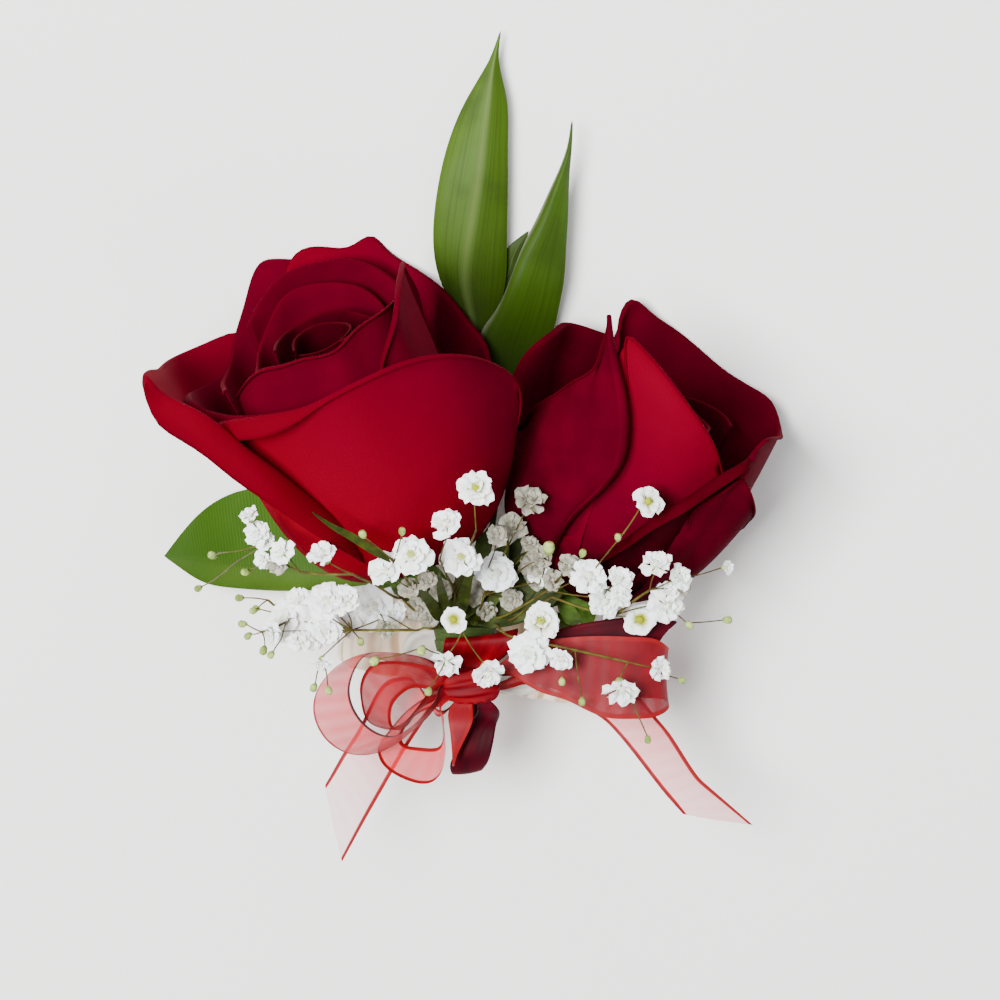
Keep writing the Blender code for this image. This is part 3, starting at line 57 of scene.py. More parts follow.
def seen(x, y, z):
    # The point at depth z that the eye sees at x, y: the offset from the eye's axis shrinks with z
    x, y, z = (np.asarray(value, float) for value in (x, y, z))
    scale = 1 - z / flowerFrame["distance"]
    eyeX, eyeY = flowerFrame["eye"]
    return np.stack([eyeX + (x - eyeX) * scale, eyeY + (y - eyeY) * scale, z + 0 * x], -1)


def unit(vectors):
    # Each vector divided by its length, which is kept off zero
    return vectors / np.maximum(np.linalg.norm(vectors, axis=-1, keepdims=True), 1e-9)


def spline(points, count):
    # Natural cubic spline through the points, with the square root of each gap as its step
    knots = np.asarray(points, float)
    steps = np.maximum(np.linalg.norm(np.diff(knots[:, :3], axis=0), axis=1), 1e-6) ** 0.5
    at = np.concatenate([[0], np.cumsum(steps)])
    size = len(knots)
    system, right = np.eye(size), np.zeros_like(knots)
    slopes = np.diff(knots, axis=0) / steps[:, None]
    inner = np.arange(1, size - 1)
    system[inner, inner - 1], system[inner, inner + 1] = steps[:-1], steps[1:]
    system[inner, inner] = 2 * (steps[:-1] + steps[1:])
    right[inner] = 6 * np.diff(slopes, axis=0)
    bend = np.linalg.solve(system, right)
    where = np.linspace(0, at[-1], count)
    i = np.clip(np.searchsorted(at, where, "right") - 1, 0, size - 2)
    left, ahead, span = (at[i + 1] - where)[:, None], (where - at[i])[:, None], steps[i][:, None]
    return ((bend[i] * left ** 3 + bend[i + 1] * ahead ** 3) / (6 * span)
            + (knots[i] / span - bend[i] * span / 6) * left
            + (knots[i + 1] / span - bend[i + 1] * span / 6) * ahead)


def smooth(low, high, value):
    # 0 below low, 1 above high, and a smooth step between
    t = np.clip((value - low) / (high - low), 0, 1)
    return t * t * (3 - 2 * t)


# Points closer than merge are one, edges shorter than sliver go (in metres), and an edge that bends
# by more than sharpAngle is shaded as a crease. No axis of a piece runs along offAxis.
meshMake = {"merge": 1e-6, "sliver": 1e-7, "sharpAngle": math.radians(75), "offAxis": (0.31, 0.2, 0.93)}


class Shape:
    # Grids of points gathered into one mesh, each point with a uv, a tone and a hold
    def __init__(self):
        self.points, self.faces, self.uvs, self.tones, self.holds, self.looks = [], [], [], [], [], []
        self.count = 0

    def grid(self, points, tone=0.5, look=0, u=None, v=None, hold=0):
        # One face between each four neighbours of a grid; u runs along the rows, v along the columns
        rows, columns = points.shape[:2]
        index = self.count + np.arange(rows * columns).reshape(rows, columns)
        corners = (index[:-1, :-1], index[1:, :-1], index[1:, 1:], index[:-1, 1:])
        self.faces.append(np.stack(corners, -1).reshape(-1, 4))
        u = np.linspace(0, 1, rows) if u is None else u
        v = np.linspace(0, 1, columns) if v is None else v
        self.uvs.append(np.stack(np.meshgrid(u, v, indexing="ij"), -1).reshape(-1, 2))
        self.points.append(points.reshape(-1, 3))
        self.tones.append(np.broadcast_to(tone, (rows, columns)).reshape(-1))
        self.holds.append(np.broadcast_to(hold, (rows, columns)).reshape(-1))
        self.looks.append(np.full((rows - 1) * (columns - 1), look))
        self.count += rows * columns

    def lens(self, points, thickness, tone=0.5, look=0):
        # A thin closed blade: the grid moved both ways along its normals, by nothing at its rim
        rows, columns = points.shape[:2]
        normal = unit(np.cross(np.gradient(points, axis=0), np.gradient(points, axis=1)))
        inside = np.zeros((rows, columns, 1))
        inside[1:-1, 1:-1] = thickness / 2
        self.grid(points + normal * inside, tone, look)
        self.grid((points - normal * inside)[::-1], np.broadcast_to(tone, (rows, columns))[::-1], look)

    def tube(self, path, radii, sides, tone=0.5, look=0):
        # Circles round a path, square to it, closed to a point at both ends
        path = np.asarray(path, float)
        along = unit(np.gradient(path, axis=0))
        helper = np.eye(3)[np.argmin(np.abs(along).mean(axis=0))]
        first = unit(np.cross(along, helper))
        second = np.cross(along, first)
        turn = np.linspace(0, 2 * math.pi, sides + 1)[None, :, None]
        radii = np.broadcast_to(np.asarray(radii, float), len(path))[:, None, None]
        rings = path[:, None] + radii * (np.cos(turn) * first[:, None] + np.sin(turn) * second[:, None])
        ends = [np.repeat(path[i][None, None], sides + 1, axis=1) for i in (0, -1)]
        self.grid(np.concatenate([ends[0], rings, ends[1]]), tone, look)

    def turned(self, base, axis, profile, sides, tone=0.5, look=0):
        # Circles of the profile's radii at its heights up an axis
        profile = np.asarray(profile, float)
        first = unit(np.cross(axis, meshMake["offAxis"]))
        second = np.cross(axis, first)
        turn = np.linspace(0, 2 * math.pi, sides + 1)[None, :, None]
        height, radius = profile[:, 0, None, None], profile[:, 1, None, None]
        self.grid(base + height * axis + radius * (np.cos(turn) * first + np.sin(turn) * second), tone, look)

    def build(self, name, finishes, slot, nodes, world=False, closed=True):
        # The mesh of all the grids, merged where they meet, as a piece that stands for CAD nodes
        points = np.concatenate(self.points)
        points = points / 1000 if world else inWorld(points)
        faces = np.concatenate(self.faces)
        mesh = bpy.data.meshes.new(name)
        mesh.from_pydata(points.tolist(), [], faces.tolist())
        corners = np.concatenate(self.uvs)[faces.ravel()]
        mesh.uv_layers.new(name="surface").data.foreach_set("uv", corners.ravel())
        for attribute, values in (("tone", self.tones), ("hold", self.holds)):
            mesh.attributes.new(attribute, "FLOAT", "POINT").data.foreach_set("value", np.concatenate(values))
        mesh.polygons.foreach_set("material_index", np.concatenate(self.looks))
        mesh.polygons.foreach_set("use_smooth", np.ones(len(faces), bool))
        for finish in finishes:
            mesh.materials.append(finish.material)
        if closed:
            body = bmesh.new()
            body.from_mesh(mesh)
            bmesh.ops.remove_doubles(body, verts=body.verts, dist=meshMake["merge"])
            bmesh.ops.dissolve_degenerate(body, edges=body.edges, dist=meshMake["sliver"])
            bmesh.ops.recalc_face_normals(body, faces=body.faces)
            body.to_mesh(mesh)
            body.free()
            mesh.set_sharp_from_angle(angle=meshMake["sharpAngle"])
        piece = bpy.data.objects.new(name, mesh)
        bpy.context.scene.collection.objects.link(piece)
        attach(piece, "root")
        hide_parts(*nodes)
        return piece


def thicken(piece, thickness):
    # A wall of even thickness on both sides of a surface
    wall = piece.modifiers.new("wall", "SOLIDIFY")
    wall.thickness = thickness / 1000
    wall.offset = 0
    wall.use_even_offset = False


def tint(red, green, blue):
    # A colour of 0 to 255 in linear light, by the standard curve of screens
    values = [value / 255 for value in (red, green, blue)]
    return tuple(v / 12.92 if v < 0.04045 else ((v + 0.055) / 1.055) ** 2.4 for v in values) + (1,)


class Socket:
    # One output among a finish's nodes: sums and products of it are Math nodes
    def __init__(self, finish, link):
        self.finish, self.link = finish, link

    def maths(self, operation, first, second=0):
        return self.finish.node("ShaderNodeMath", {"operation": operation}, {0: first, 1: second})

    def __add__(self, other):
        return self.maths("ADD", self, other)

    def __radd__(self, other):
        return self.maths("ADD", other, self)

    def __sub__(self, other):
        return self.maths("SUBTRACT", self, other)

    def __rsub__(self, other):
        return self.maths("SUBTRACT", other, self)

    def __mul__(self, other):
        return self.maths("MULTIPLY", self, other)

    def __rmul__(self, other):
        return self.maths("MULTIPLY", other, self)

    def __abs__(self):
        return self.maths("ABSOLUTE", self)

    def over(self, low, high):
        # 0 where the value is under low, 1 where it is over high
        return self.finish.node("ShaderNodeMapRange", {"interpolation_type": "SMOOTHSTEP"},
                                {"Value": self, "From Min": low, "From Max": high})


class Finish:
    # A material whose nodes are added by name
    def __init__(self, name, **uniform):
        self.material = bpy.data.materials.new(name)
        self.material.use_nodes = True
        self.tree = self.material.node_tree
        self.shader = self.tree.nodes["Principled BSDF"]
        for socket, value in uniform.items():
            self.shader.inputs[socket].default_value = value

    def put(self, socket, value):
        # A link where the value is another node's output, and a fixed value otherwise
        if isinstance(value, Socket):
            self.tree.links.new(value.link, socket)
        else:
            socket.default_value = value

    def node(self, kind, settings, inputs, output=0):
        # Any node: its settings first, then the values or links of its sockets
        made = self.tree.nodes.new(kind)
        for name, value in settings.items():
            if name == "stops":
                for stop, (place, colour) in zip(self.stopsOf(made, len(value)), value):
                    stop.position, stop.color = place, colour
            else:
                setattr(made, name, value)
        for name, value in inputs.items():
            self.put(made.inputs[name], value)
        return Socket(self, made.outputs[output])

    def stopsOf(self, ramp, count):
        # A new ramp has two stops, so the missing ones are added
        while len(ramp.color_ramp.elements) < count:
            ramp.color_ramp.elements.new(1)
        return ramp.color_ramp.elements

    def ramp(self, value, *stops):
        return self.node("ShaderNodeValToRGB", {"stops": stops}, {"Fac": value})

    def mix(self, mask, first, second):
        # The first colour where the mask is 0, the second where it is 1
        return self.node("ShaderNodeMix", {"data_type": "RGBA"}, {0: mask, 6: first, 7: second}, 2)

    def place(self):
        # Object coordinates, in metres
        return self.node("ShaderNodeTexCoord", {}, {}, 3)

    def surface(self, scale=(1, 1, 1)):
        # The piece's own uv, times the scale
        place = self.node("ShaderNodeUVMap", {"uv_map": "surface"}, {})
        return self.node("ShaderNodeMapping", {}, {"Vector": place, "Scale": scale})

    def across(self, output):
        # 0 gives u, 1 gives v
        return self.node("ShaderNodeSeparateXYZ", {}, {0: self.surface()}, output)

    def attribute(self, name):
        return self.node("ShaderNodeAttribute", {"attribute_name": name}, {}, 2)

    def noise(self, place, scale, detail=2):
        return self.node("ShaderNodeTexNoise", {}, {"Vector": place, "Scale": scale, "Detail": detail})

    def bands(self, place, scale, distortion=0):
        # Soft waves from 0 to 1 across x
        return self.node("ShaderNodeTexWave", {"bands_direction": "X"},
                         {"Vector": place, "Scale": scale, "Distortion": distortion, "Detail": 2}, 1)

    def set(self, **values):
        for name, value in values.items():
            self.put(self.shader.inputs[name.replace("_", " ")], value)

    def bump(self, height, depth, strength=1):
        # depth is the height of the relief in mm
        relief = {"Height": height, "Distance": depth / 1000, "Strength": strength}
        self.put(self.shader.inputs["Normal"], self.node("ShaderNodeBump", {}, relief))


# The lens and its sensor, in mm, cover 200 mm at the binding. The rest is in metres and watts.
studio = {
    "lens": 180, "sensor": 36, "clip": (0.05, 20),
    "lamps": {
        "key": {"at": (-0.38, 0.3, 1.15), "size": 0.5, "power": 42},
        "fill": {"at": (0.8, -0.5, 0.9), "size": 1.0, "power": 5},
        "back": {"at": (0.2, 0.9, 0.5), "size": 0.6, "power": 3},
    },
    "lampAim": (0, 0.02, 0.03),
    "sky": (235, 238, 242), "skyStrength": 0.4,
    "floorSize": 6, "floorTones": ((250, 249, 247), (253, 252, 250)), "floorClouds": 12,
}


def addCamera():
    # It looks straight down the flower frame's depth, from the eye
    camera = bpy.data.objects.new("camera", bpy.data.cameras.new("camera"))
    bpy.context.scene.collection.objects.link(camera)
    camera.location = inWorld([*flowerFrame["eye"], flowerFrame["distance"]])
    camera.rotation_euler = (-flowerFrame["drop"], 0, 0)
    camera.data.lens, camera.data.sensor_width = studio["lens"], studio["sensor"]
    camera.data.clip_start, camera.data.clip_end = studio["clip"]
    bpy.context.scene.camera = camera


def addLamp(name, spec):
    # A square area lamp that faces the corsage
    lamp = bpy.data.objects.new(name, bpy.data.lights.new(name, "AREA"))
    lamp.data.size = spec["size"]
    lamp.data.energy = spec["power"]
    lamp.location = spec["at"]
    lamp.rotation_euler = (Vector(studio["lampAim"]) - Vector(spec["at"])).to_track_quat("-Z", "Y").to_euler()
    bpy.context.scene.collection.objects.link(lamp)


def addSky():
    # One even pale light from all round
    sky = bpy.data.worlds.new("studio")
    sky.use_nodes = True
    background = sky.node_tree.nodes["Background"]
    background.inputs["Color"].default_value = tint(*studio["sky"])
    background.inputs["Strength"].default_value = studio["skyStrength"]
    bpy.context.scene.world = sky


def addFloor():
    # A square sheet of almost one pale tone, at the height that the corsage lies on
    half = studio["floorSize"] / 2
    corners = [(-half, -half, 0), (half, -half, 0), (half, half, 0), (-half, half, 0)]
    mesh = bpy.data.meshes.new("floor")
    mesh.from_pydata(corners, [], [(0, 1, 2, 3)])
    finish = Finish("paleFloor", **{"Roughness": 0.7})
    clouds = finish.noise(finish.place(), studio["floorClouds"])
    finish.set(Base_Color=finish.mix(clouds, *(tint(*tone) for tone in studio["floorTones"])))
    mesh.materials.append(finish.material)
    floor = bpy.data.objects.new("floor", mesh)
    bpy.context.scene.collection.objects.link(floor)


addCamera()
for lampName, lampSpec in studio["lamps"].items():
    addLamp(lampName, lampSpec)
addSky()
addFloor()
print("camera, floor and lights set")

# Base is the foot of the rose's axis; tilt turns it about the line of sight and rise lifts it
# towards the eye, in degrees. Sprays keep off a round of the radius, with its widest at the height
# round and its end at top. The heart has heights and radii, and the curl is the petal wound round it.
leftRose = {
    "base": (-10.4, 20.7, -1), "tilt": -16.3, "rise": 30, "radius": 36, "round": 34, "top": 64,
    "heart": [(0.4, 5.4), (6, 8), (15, 9.5), (25, 8), (30, 5), (32, 1)],
    "curl": {"radius": 8, "turns": 2.6, "low": 25, "top": 48},
}
rightRose = {
    "base": (26.5, 15.2, -4), "tilt": 25, "rise": 20, "radius": 25, "round": 30, "top": 58,
    "heart": [(0.4, 5.4), (6, 7.5), (14, 8.5), (22, 7), (27, 4.5), (29, 1)],
    "curl": {"radius": 6.4, "turns": 2.6, "low": 20, "top": 38.5},
}

# A petal's rim runs from its left edge to its right one as seen from outside: x, y, distance from
# the rose's axis (negative on the far side) and the length of the lip that rolls outward there.
# Each petal's tone is painted light and shade, how brightly it is lit: low for the petals at the back and in
# the heart, high for the lit ones in front. Its lean tilts that painted light along it and up it.
leftPetals = {
    "frontRight": {
        "tone": 0.74, "lean": (-0.45, -0.4),
        "rim": [
            (-45.2, 48.8, 35, 6), (-41, 49.6, 36, 6), (-35.6, 50.2, 36.5, 6), (-30, 51.4, 37, 3.4),
            (-25.6, 53.6, 37.5, 1.6), (-20, 56.6, 38, 1.2), (-14, 59.2, 38, 1.2), (-8, 61.4, 38, 1.2),
            (-2, 62.6, 38, 1.2), (4, 62.2, 38, 1.2), (9.4, 60.4, 38, 1.2), (12.6, 57.6, 37.6, 1),
            (13.6, 52.6, 36, 0.8), (12.2, 45.6, 33, 0.6), (8, 36.6, 27, 0.4),
        ],
        "bulge": 0.16, "rootSpread": 0.75, "lipTurn": 150, "fold": 2.2,
    },
    "outerLeft": {
        "tone": 0.7, "lean": (0.25, 0),
        "rim": [
            (-37.6, 64.6, -36, 1), (-42, 66.8, -38, 1.5), (-48, 65, -40, 2), (-53.4, 62.6, -40.5, 2),
            (-56.6, 60.6, -36, 2), (-58.4, 59.4, 20, 3), (-60, 57.8, 45, 4), (-57.8, 55.4, 44, 7),
            (-54.4, 53.2, 43, 8.5), (-49, 50.4, 42, 9.5), (-43, 46, 40.5, 10), (-36, 40.8, 39, 10),
            (-29, 34.8, 36, 9.5), (-22.4, 29.2, 32, 7.5), (-17.6, 24, 26, 4),
        ],
        "bulge": 0.03, "backBulge": 0.1, "rootSpread": 0.6, "lipTurn": 150, "fold": 2.6,
    },
    "backLeft": {
        "tone": 0.4,
        "rim": [
            (-45, 55.2, 30, 1), (-43.6, 61.6, -33, 1), (-41.8, 68.6, -36, 1), (-40, 75.2, -38, 1.5),
            (-37.6, 80.4, -39, 1.5), (-35, 81.4, -39, 1.5), (-30, 81, -38, 1.5), (-24, 80, -37, 1),
        ],
        "bulge": 0.07,
    },
    "back": {
        "tone": 0.4, "lean": (-0.4, 0.2),
        "rim": [
            (-33, 78.2, -36, 1.5), (-30, 82.4, -37.5, 2), (-25, 83.4, -38, 2), (-20, 83.6, -38, 2),
            (-16.2, 85.4, -39, 2), (-13, 82.8, -38.5, 2), (-8, 79.8, -38, 1.5), (-2.6, 75.4, -37, 1.5),
            (1.6, 71, -35.5, 1.5), (5, 66.4, -34, 1.5), (7.2, 61.6, -32, 1), (9, 53.6, -30, 0.5),
        ],
    },
    "backInner": {
        "tone": 0.34,
        "rim": [
            (-40, 67.6, -28, 1), (-36, 75.6, -30, 1), (-30, 79.6, -31, 1), (-22, 81.2, -31.5, 1),
            (-14, 79.2, -31, 1), (-9, 73.6, -30, 1), (-6, 67.6, -29, 1),
        ],
    },
    "foldedRight": {
        "tone": 0.45,
        "rim": [
            (-14.8, 55.2, 27, 1.6), (-14, 60, 27, 1.6), (-12.4, 66.6, 26, 1.6), (-10.8, 73.6, 24, 1.6),
            (-9.4, 80, -25, 1), (-7.2, 76, -28, 0.6), (-5.8, 71.2, -30, 0.6), (-3.8, 66.2, -31, 0.5),
            (-1.6, 61.2, -31, 0.5),
        ],
        "rootSpread": 0.8, "lipTurn": 120,
    },
    "frontLeftLip": {
        "tone": 0.42,
        "rim": [
            (-44.4, 59.2, -30, 1), (-49, 56, -32, 1.4), (-50.8, 53.2, 33, 3), (-48.8, 51.4, 33, 3.2),
            (-43.6, 50.4, 33, 2.8), (-37, 50.6, 33, 2.2), (-30, 52, 32, 1), (-22, 55.2, 31, 0.6),
        ],
        "bulge": 0.06, "lipTurn": 150, "fold": 2,
    },
    "heartFront": {
        "tone": 0.42, "lean": (0.1, 0.1),
        "rim": [
            (-42.4, 54, 26, 1), (-40.8, 56.6, 26, 1.2), (-38, 59.2, 26, 1.4), (-34, 60.4, 25.5, 1.2),
            (-30, 61.6, 25, 1), (-25.6, 62.2, 24.5, 0.8), (-22.4, 64, 24, 0.8), (-19.6, 66.8, 23, 0.8),
            (-16, 69.6, 22, 0.8), (-12.4, 72.4, 20, 0.6), (-10, 73.6, 18, 0.5),
        ],
    },
    "heartLeft": {
        "tone": 0.26, "lean": (0, 0.3),
        "rim": [
            (-38.4, 57.6, 22, 0.8), (-37.6, 63.6, -24, 0.8), (-35.6, 70, -26, 0.8),
            (-32.4, 74.4, -27, 0.8), (-26, 76.6, -27, 0.8), (-20, 76.4, -27, 0.8),
            (-15.4, 74, -26.6, 0.8), (-12, 70, -26, 0.6), (-10.4, 64.6, -25, 0.5),
        ],
        "bulge": 0.12,
    },
    "heartRing": {
        "ruffle": 0, "tone": 0.12,
        "rim": [
            (-35, 63.2, 17, 0.6), (-32, 67.2, -17, 0.6), (-28, 69.6, -19, 0.6), (-22, 71.2, -20, 0.6),
            (-16.4, 70, -19, 0.6), (-18, 67.6, 14, 0.6), (-22, 65.2, 15, 0.6),
        ],
        "bulge": 0.1,
    },
    "heartCentre": {
        "ruffle": 0, "tone": 0.06,
        "rim": [
            (-31, 63.2, 9, 0.5), (-30, 66.4, -10, 0.5), (-26.4, 68.4, -11, 0.5),
            (-22.4, 68.8, -10, 0.5), (-21, 66.4, 9, 0.5), (-25, 63.6, 10, 0.5), (-30, 62.4, 10, 0.5),
        ],
        "bulge": 0.1,
    },
}

# Here too each petal's tone and lean are painted light and shade.
rightPetals = {
    "frontLeft": {
        "tone": 0.34, "lean": (0.1, -0.2),
        "rim": [
            (12.8, 46, 25, 0.8), (14.4, 48.2, 25.5, 1), (19, 52.6, 26, 1), (24, 56, 26, 1),
            (28, 58.6, 25.5, 1), (30.4, 62, 25, 1), (31.6, 66.4, 24.5, 1), (32.2, 70.2, 24, 1),
        ],
        "rows": [
            (0.38, [(11.6, 29.6, 21), (16, 27.6, 21.5), (20.4, 27.2, 21), (24, 29.2, 20.5)]),
            (0.72, [(11.6, 39.6, 25), (19, 41.2, 26.2), (28, 43.2, 26), (34.4, 44.8, 25)]),
            (0.88, [(12, 43.2, 25.4), (19.6, 47.6, 26.4), (28, 52.6, 26), (34.2, 56.6, 25)]),
        ],
        "side": {"first": 0.3, "last": 1.02, "wide": 5.4, "columns": 8, "turn": 175},
        "rootSpread": 0.8, "lipTurn": 100,
    },
    "frontRight": {
        "tone": 0.5, "lean": (-0.1, 0.4),
        "rim": [
            (18, 27.6, 15, 0.4), (24, 33.6, 18, 0.4), (29.6, 39.8, 21, 0.5), (33.4, 45.2, 23, 0.5),
            (35.6, 51.6, 23.5, 0.5), (35.4, 59.6, 23, 0.5), (35.8, 66, 22.6, 0.8), (38.4, 64, 23, 1),
            (42, 59.8, 24, 1), (46, 54.8, 24.5, 1), (50, 49.2, 24.5, 1), (52.6, 44.6, 24, 1),
            (54.2, 39.2, 23, 0.8), (54.4, 33.6, 21, 0.5),
        ],
        "bulge": 0.12, "rootSpread": 0.8,
    },
    "backLeft": {
        "tone": 0.24,
        "rim": [
            (12.8, 45.6, -22, 0.6), (13.2, 53.6, -26, 1), (14, 60, -28, 1.2), (18.6, 64.4, -28, 1.4),
            (22.6, 67.8, -28, 1.6), (26, 68, -27.5, 1.4), (31, 66.4, -26, 1), (35, 64.6, -25, 0.8),
        ],
    },
    "backRight": {
        "tone": 0.32,
        "rim": [
            (33.6, 63.6, -22, 1), (34.4, 69.2, -24, 1.2), (36.8, 72.8, -26, 1.6), (40, 70.6, -26, 1.6),
            (44.4, 67.4, -26, 1.6), (50, 62.8, -26, 1.6), (54.4, 59.2, -26.5, 1.6),
            (60, 55.6, -27, 1.6), (63.6, 52.8, -27.4, 1.4), (65.6, 47.8, -28, 1.2),
            (62.6, 45.4, 27, 1), (59.4, 41.2, 25, 1),
        ],
    },
    "outerRight": {
        "tone": 0.04,
        "rim": [
            (60.4, 43.6, -26, 1), (58.6, 41.4, 26.5, 2.6), (54.4, 38.6, 26.5, 3.6),
            (48.4, 34.8, 26.5, 4), (42.4, 31, 25.5, 4), (38, 28, 24.5, 4), (33, 24.2, 21, 3),
            (28.4, 20.4, 16, 2),
        ],
        "bulge": 0.08, "lipTurn": 140, "fold": 2.4,
    },
    "outerLow": {
        "tone": 0.22,
        "rim": [
            (45.2, 20.4, 20, 0.5), (47.2, 26.6, 22.6, 0.6), (48.6, 31.2, 24, 0.6),
            (53.6, 34.8, 26, 0.8), (58, 37.6, 26.6, 0.8), (60.4, 33.2, 27.6, 0.6), (56.8, 27.6, -26, 0.6),
        ],
        "bulge": 0.13, "lipTurn": 110,
    },
    "heartBack": {
        "ruffle": 0, "tone": 0.3,
        "rim": [
            (44.4, 54.6, -15, 0.8), (48, 53.6, -16, 0.8), (51.2, 52.4, -16, 0.8),
            (54.4, 50.4, -16, 0.8), (56, 48, -15, 0.8),
        ],
        "bulge": 0.12,
    },
    "heartCentre": {
        "ruffle": 0, "tone": 0.3,
        "rim": [
            (38, 53.6, 12, 0.6), (42, 54, -12, 0.6), (47, 52, -12, 0.6), (50, 49.6, -11, 0.6),
            (51.2, 47.2, 10, 0.6), (48, 46.4, 12, 0.6), (44, 47.6, 13, 0.6),
        ],
        "bulge": 0.1,
    },
}

# What a petal has where it says nothing else: how far it swells, also on its first part alone, how
# wide its root is beside its rim, how its lip turns (degrees) and eases, its ruffle, and how its
# tone, which is painted light and shade, leans along and up it.
petalUsual = {"bulge": 0.14, "backBulge": 0, "rootSpread": 0.7, "lipTurn": 110, "fold": 2.4, "ruffle": 1,
              "lean": (0, 0)}
# Points along a petal's rim and up to it, where its root is, in mm from the rose's base and axis, its
# wall, the waves that ruffle it, and its lip: how v goes over it, and how it heads out and down.
roseMake = {
    "across": 41, "along": 22, "rootRadius": 5, "rootHeight": 1, "lowest": 0.3, "thickness": 0.3,
    "bellyPower": 0.8, "backPart": (0.05, 0.45), "wave": 0.3, "waves": 4, "waveStep": 1.7,
    "lipRows": 7, "lipLevels": (1.02, 1.2), "shortestLip": 0.3, "lipOut": 0.8, "lipDown": 0.5,
    # The heart's tone is painted shade, dark deep inside the bloom.
    "heartSides": 32, "heartShade": 0.1,
}
# How much the wound petal closes in along its turns and to its top, how its top climbs and waves
# The wound petal's tone is painted shade, dark deep in the heart and lighter up to its top.
curlMake = {"along": 72, "up": 12, "narrow": 0.8, "close": 0.3, "climb": 1.5, "wave": 0.4,
            "tone": 0.16, "shadeUp": 0.2}


def roseAxes(rose):
    # Base, axis, the direction to its right and the one away from the eye
    tilt, rise = math.radians(rose["tilt"]), math.radians(rose["rise"])
    axis = np.array([math.cos(rise) * math.sin(tilt), math.cos(rise) * math.cos(tilt), math.sin(rise)])
    right = unit(np.array([1.0, 0, 0]) - axis[0] * axis)
    return np.array(rose["base"], float), axis, right, np.cross(axis, right)


def onRose(rose, x, y, reach):
    # Where the sight line through x, y meets the cylinder of |reach| about the axis: the near side
    # for a positive reach, the far one for a negative. The line's lean with depth is worked in by
    # doing it five times over.
    base, axis = roseAxes(rose)[:2]
    x, y, reach = (np.asarray(value, float) for value in (x, y, reach))
    sight = np.array([0, 0, 1.0]) - axis[2] * axis
    depth = 0 * x
    for _ in range(5):
        flat = (seen(x, y, depth) - base) * np.array([1, 1, 0])
        flat = flat - (flat @ axis)[..., None] * axis
        b = 2 * flat @ sight
        c = np.sum(flat * flat, -1) - reach ** 2
        root = np.sqrt(np.maximum(b * b - 4 * (sight @ sight) * c, 0))
        depth = base[2] + (-b + np.copysign(root, reach)) / (2 * (sight @ sight))
    return seen(x, y, depth)


def blendRows(levels, values, at):
    # Cubic blend, with the rows' own slopes, of rows that stand at the levels
    slopes = np.gradient(values, levels, axis=0)
    i = np.clip(np.searchsorted(levels, at, "right") - 1, 0, len(levels) - 2)
    span = (levels[i + 1] - levels[i])[:, None]
    t = (at - levels[i])[:, None] / span
    blended = ((2 * t ** 3 - 3 * t * t + 1) * values[i] + (t ** 3 - 2 * t * t + t) * span * slopes[i]
               + (3 * t * t - 2 * t ** 3) * values[i + 1] + (t ** 3 - t * t) * span * slopes[i + 1])
    return blended.T


def turnHeightReach(row, axis, right, away):
    # Points from the rose's base as a turn about its axis, a height up it and a reach from it
    height = row @ axis
    return np.arctan2(row @ away, row @ right), height, np.linalg.norm(row - height[:, None] * axis, axis=1)


def freePetal(petal, root, rim, v):
    # Height and reach go straight from the root's to the rim's, swollen across that line by
    # sin(pi v^0.8); the turn about the axis spreads by sin(pi v / 2)
    rise, spread = rim[1] - root[1], rim[2] - root[2]
    chord = np.hypot(rise, spread)
    back = 1 - smooth(*roseMake["backPart"], np.linspace(0, 1, len(chord)))
    swell = petal["bulge"] + petal["backBulge"] * back
    belly = np.sin(np.pi * v ** roseMake["bellyPower"]) * (swell * chord)[:, None]
    turns = root[0][:, None] + (rim[0] - root[0])[:, None] * np.sin(np.pi / 2 * v)
    height = root[1][:, None] + rise[:, None] * v - (spread / chord)[:, None] * belly
    reach = root[2][:, None] + spread[:, None] * v + (rise / chord)[:, None] * belly
    return turns, np.maximum(height, roseMake["lowest"]), reach


def shapedPetal(rose, petal, root, rim, v):
    # Turn, height and reach blended from the root to the rim through the petal's own rows
    base, axis, right, away = roseAxes(rose)
    levels, rows = [0], [root]
    for level, row in petal["rows"]:
        row = spline(onRose(rose, *np.asarray(row, float).T), len(rim[0])) - base
        turn, height, reach = turnHeightReach(row, axis, right, away)
        levels.append(level)
        rows.append((rim[0] + np.mod(turn - rim[0] + np.pi, 2 * np.pi) - np.pi, height, reach))
    levels, rows = np.array([*levels, 1]), [*rows, rim]
    return [blendRows(levels, np.stack(values), v) for values in zip(*rows)]


def foldedSide(grid, lip, rimOut, v, base, axis, side):
    # The last edge of the petal rolled back over it, as arcs that turn through side's turn and are
    # wide by sin(pi v)^0.6 between its first and last v
    columns = side["columns"]
    edge = grid[-1]
    sideways = unit(edge - grid[-2])
    radial = unit(edge - base - ((edge - base) @ axis)[:, None] * axis)
    over = unit(radial - np.sum(radial * sideways, 1)[:, None] * sideways)
    part = np.clip((v - side["first"]) / (side["last"] - side["first"]), 0, 1)
    width = side["wide"] * np.sin(np.pi * part) ** 0.6
    angle = np.radians(side["turn"]) * (np.arange(columns) + 0.5) / columns
    heading = np.cos(angle)[:, None, None] * sideways + np.sin(angle)[:, None, None] * over
    strips = edge + np.cumsum(heading * (width / columns)[None, :, None], axis=0)
    rimOut = np.concatenate([rimOut, np.repeat(rimOut[-1:], columns, 0)])
    return np.concatenate([grid, strips]), np.append(lip, np.zeros(columns)), rimOut


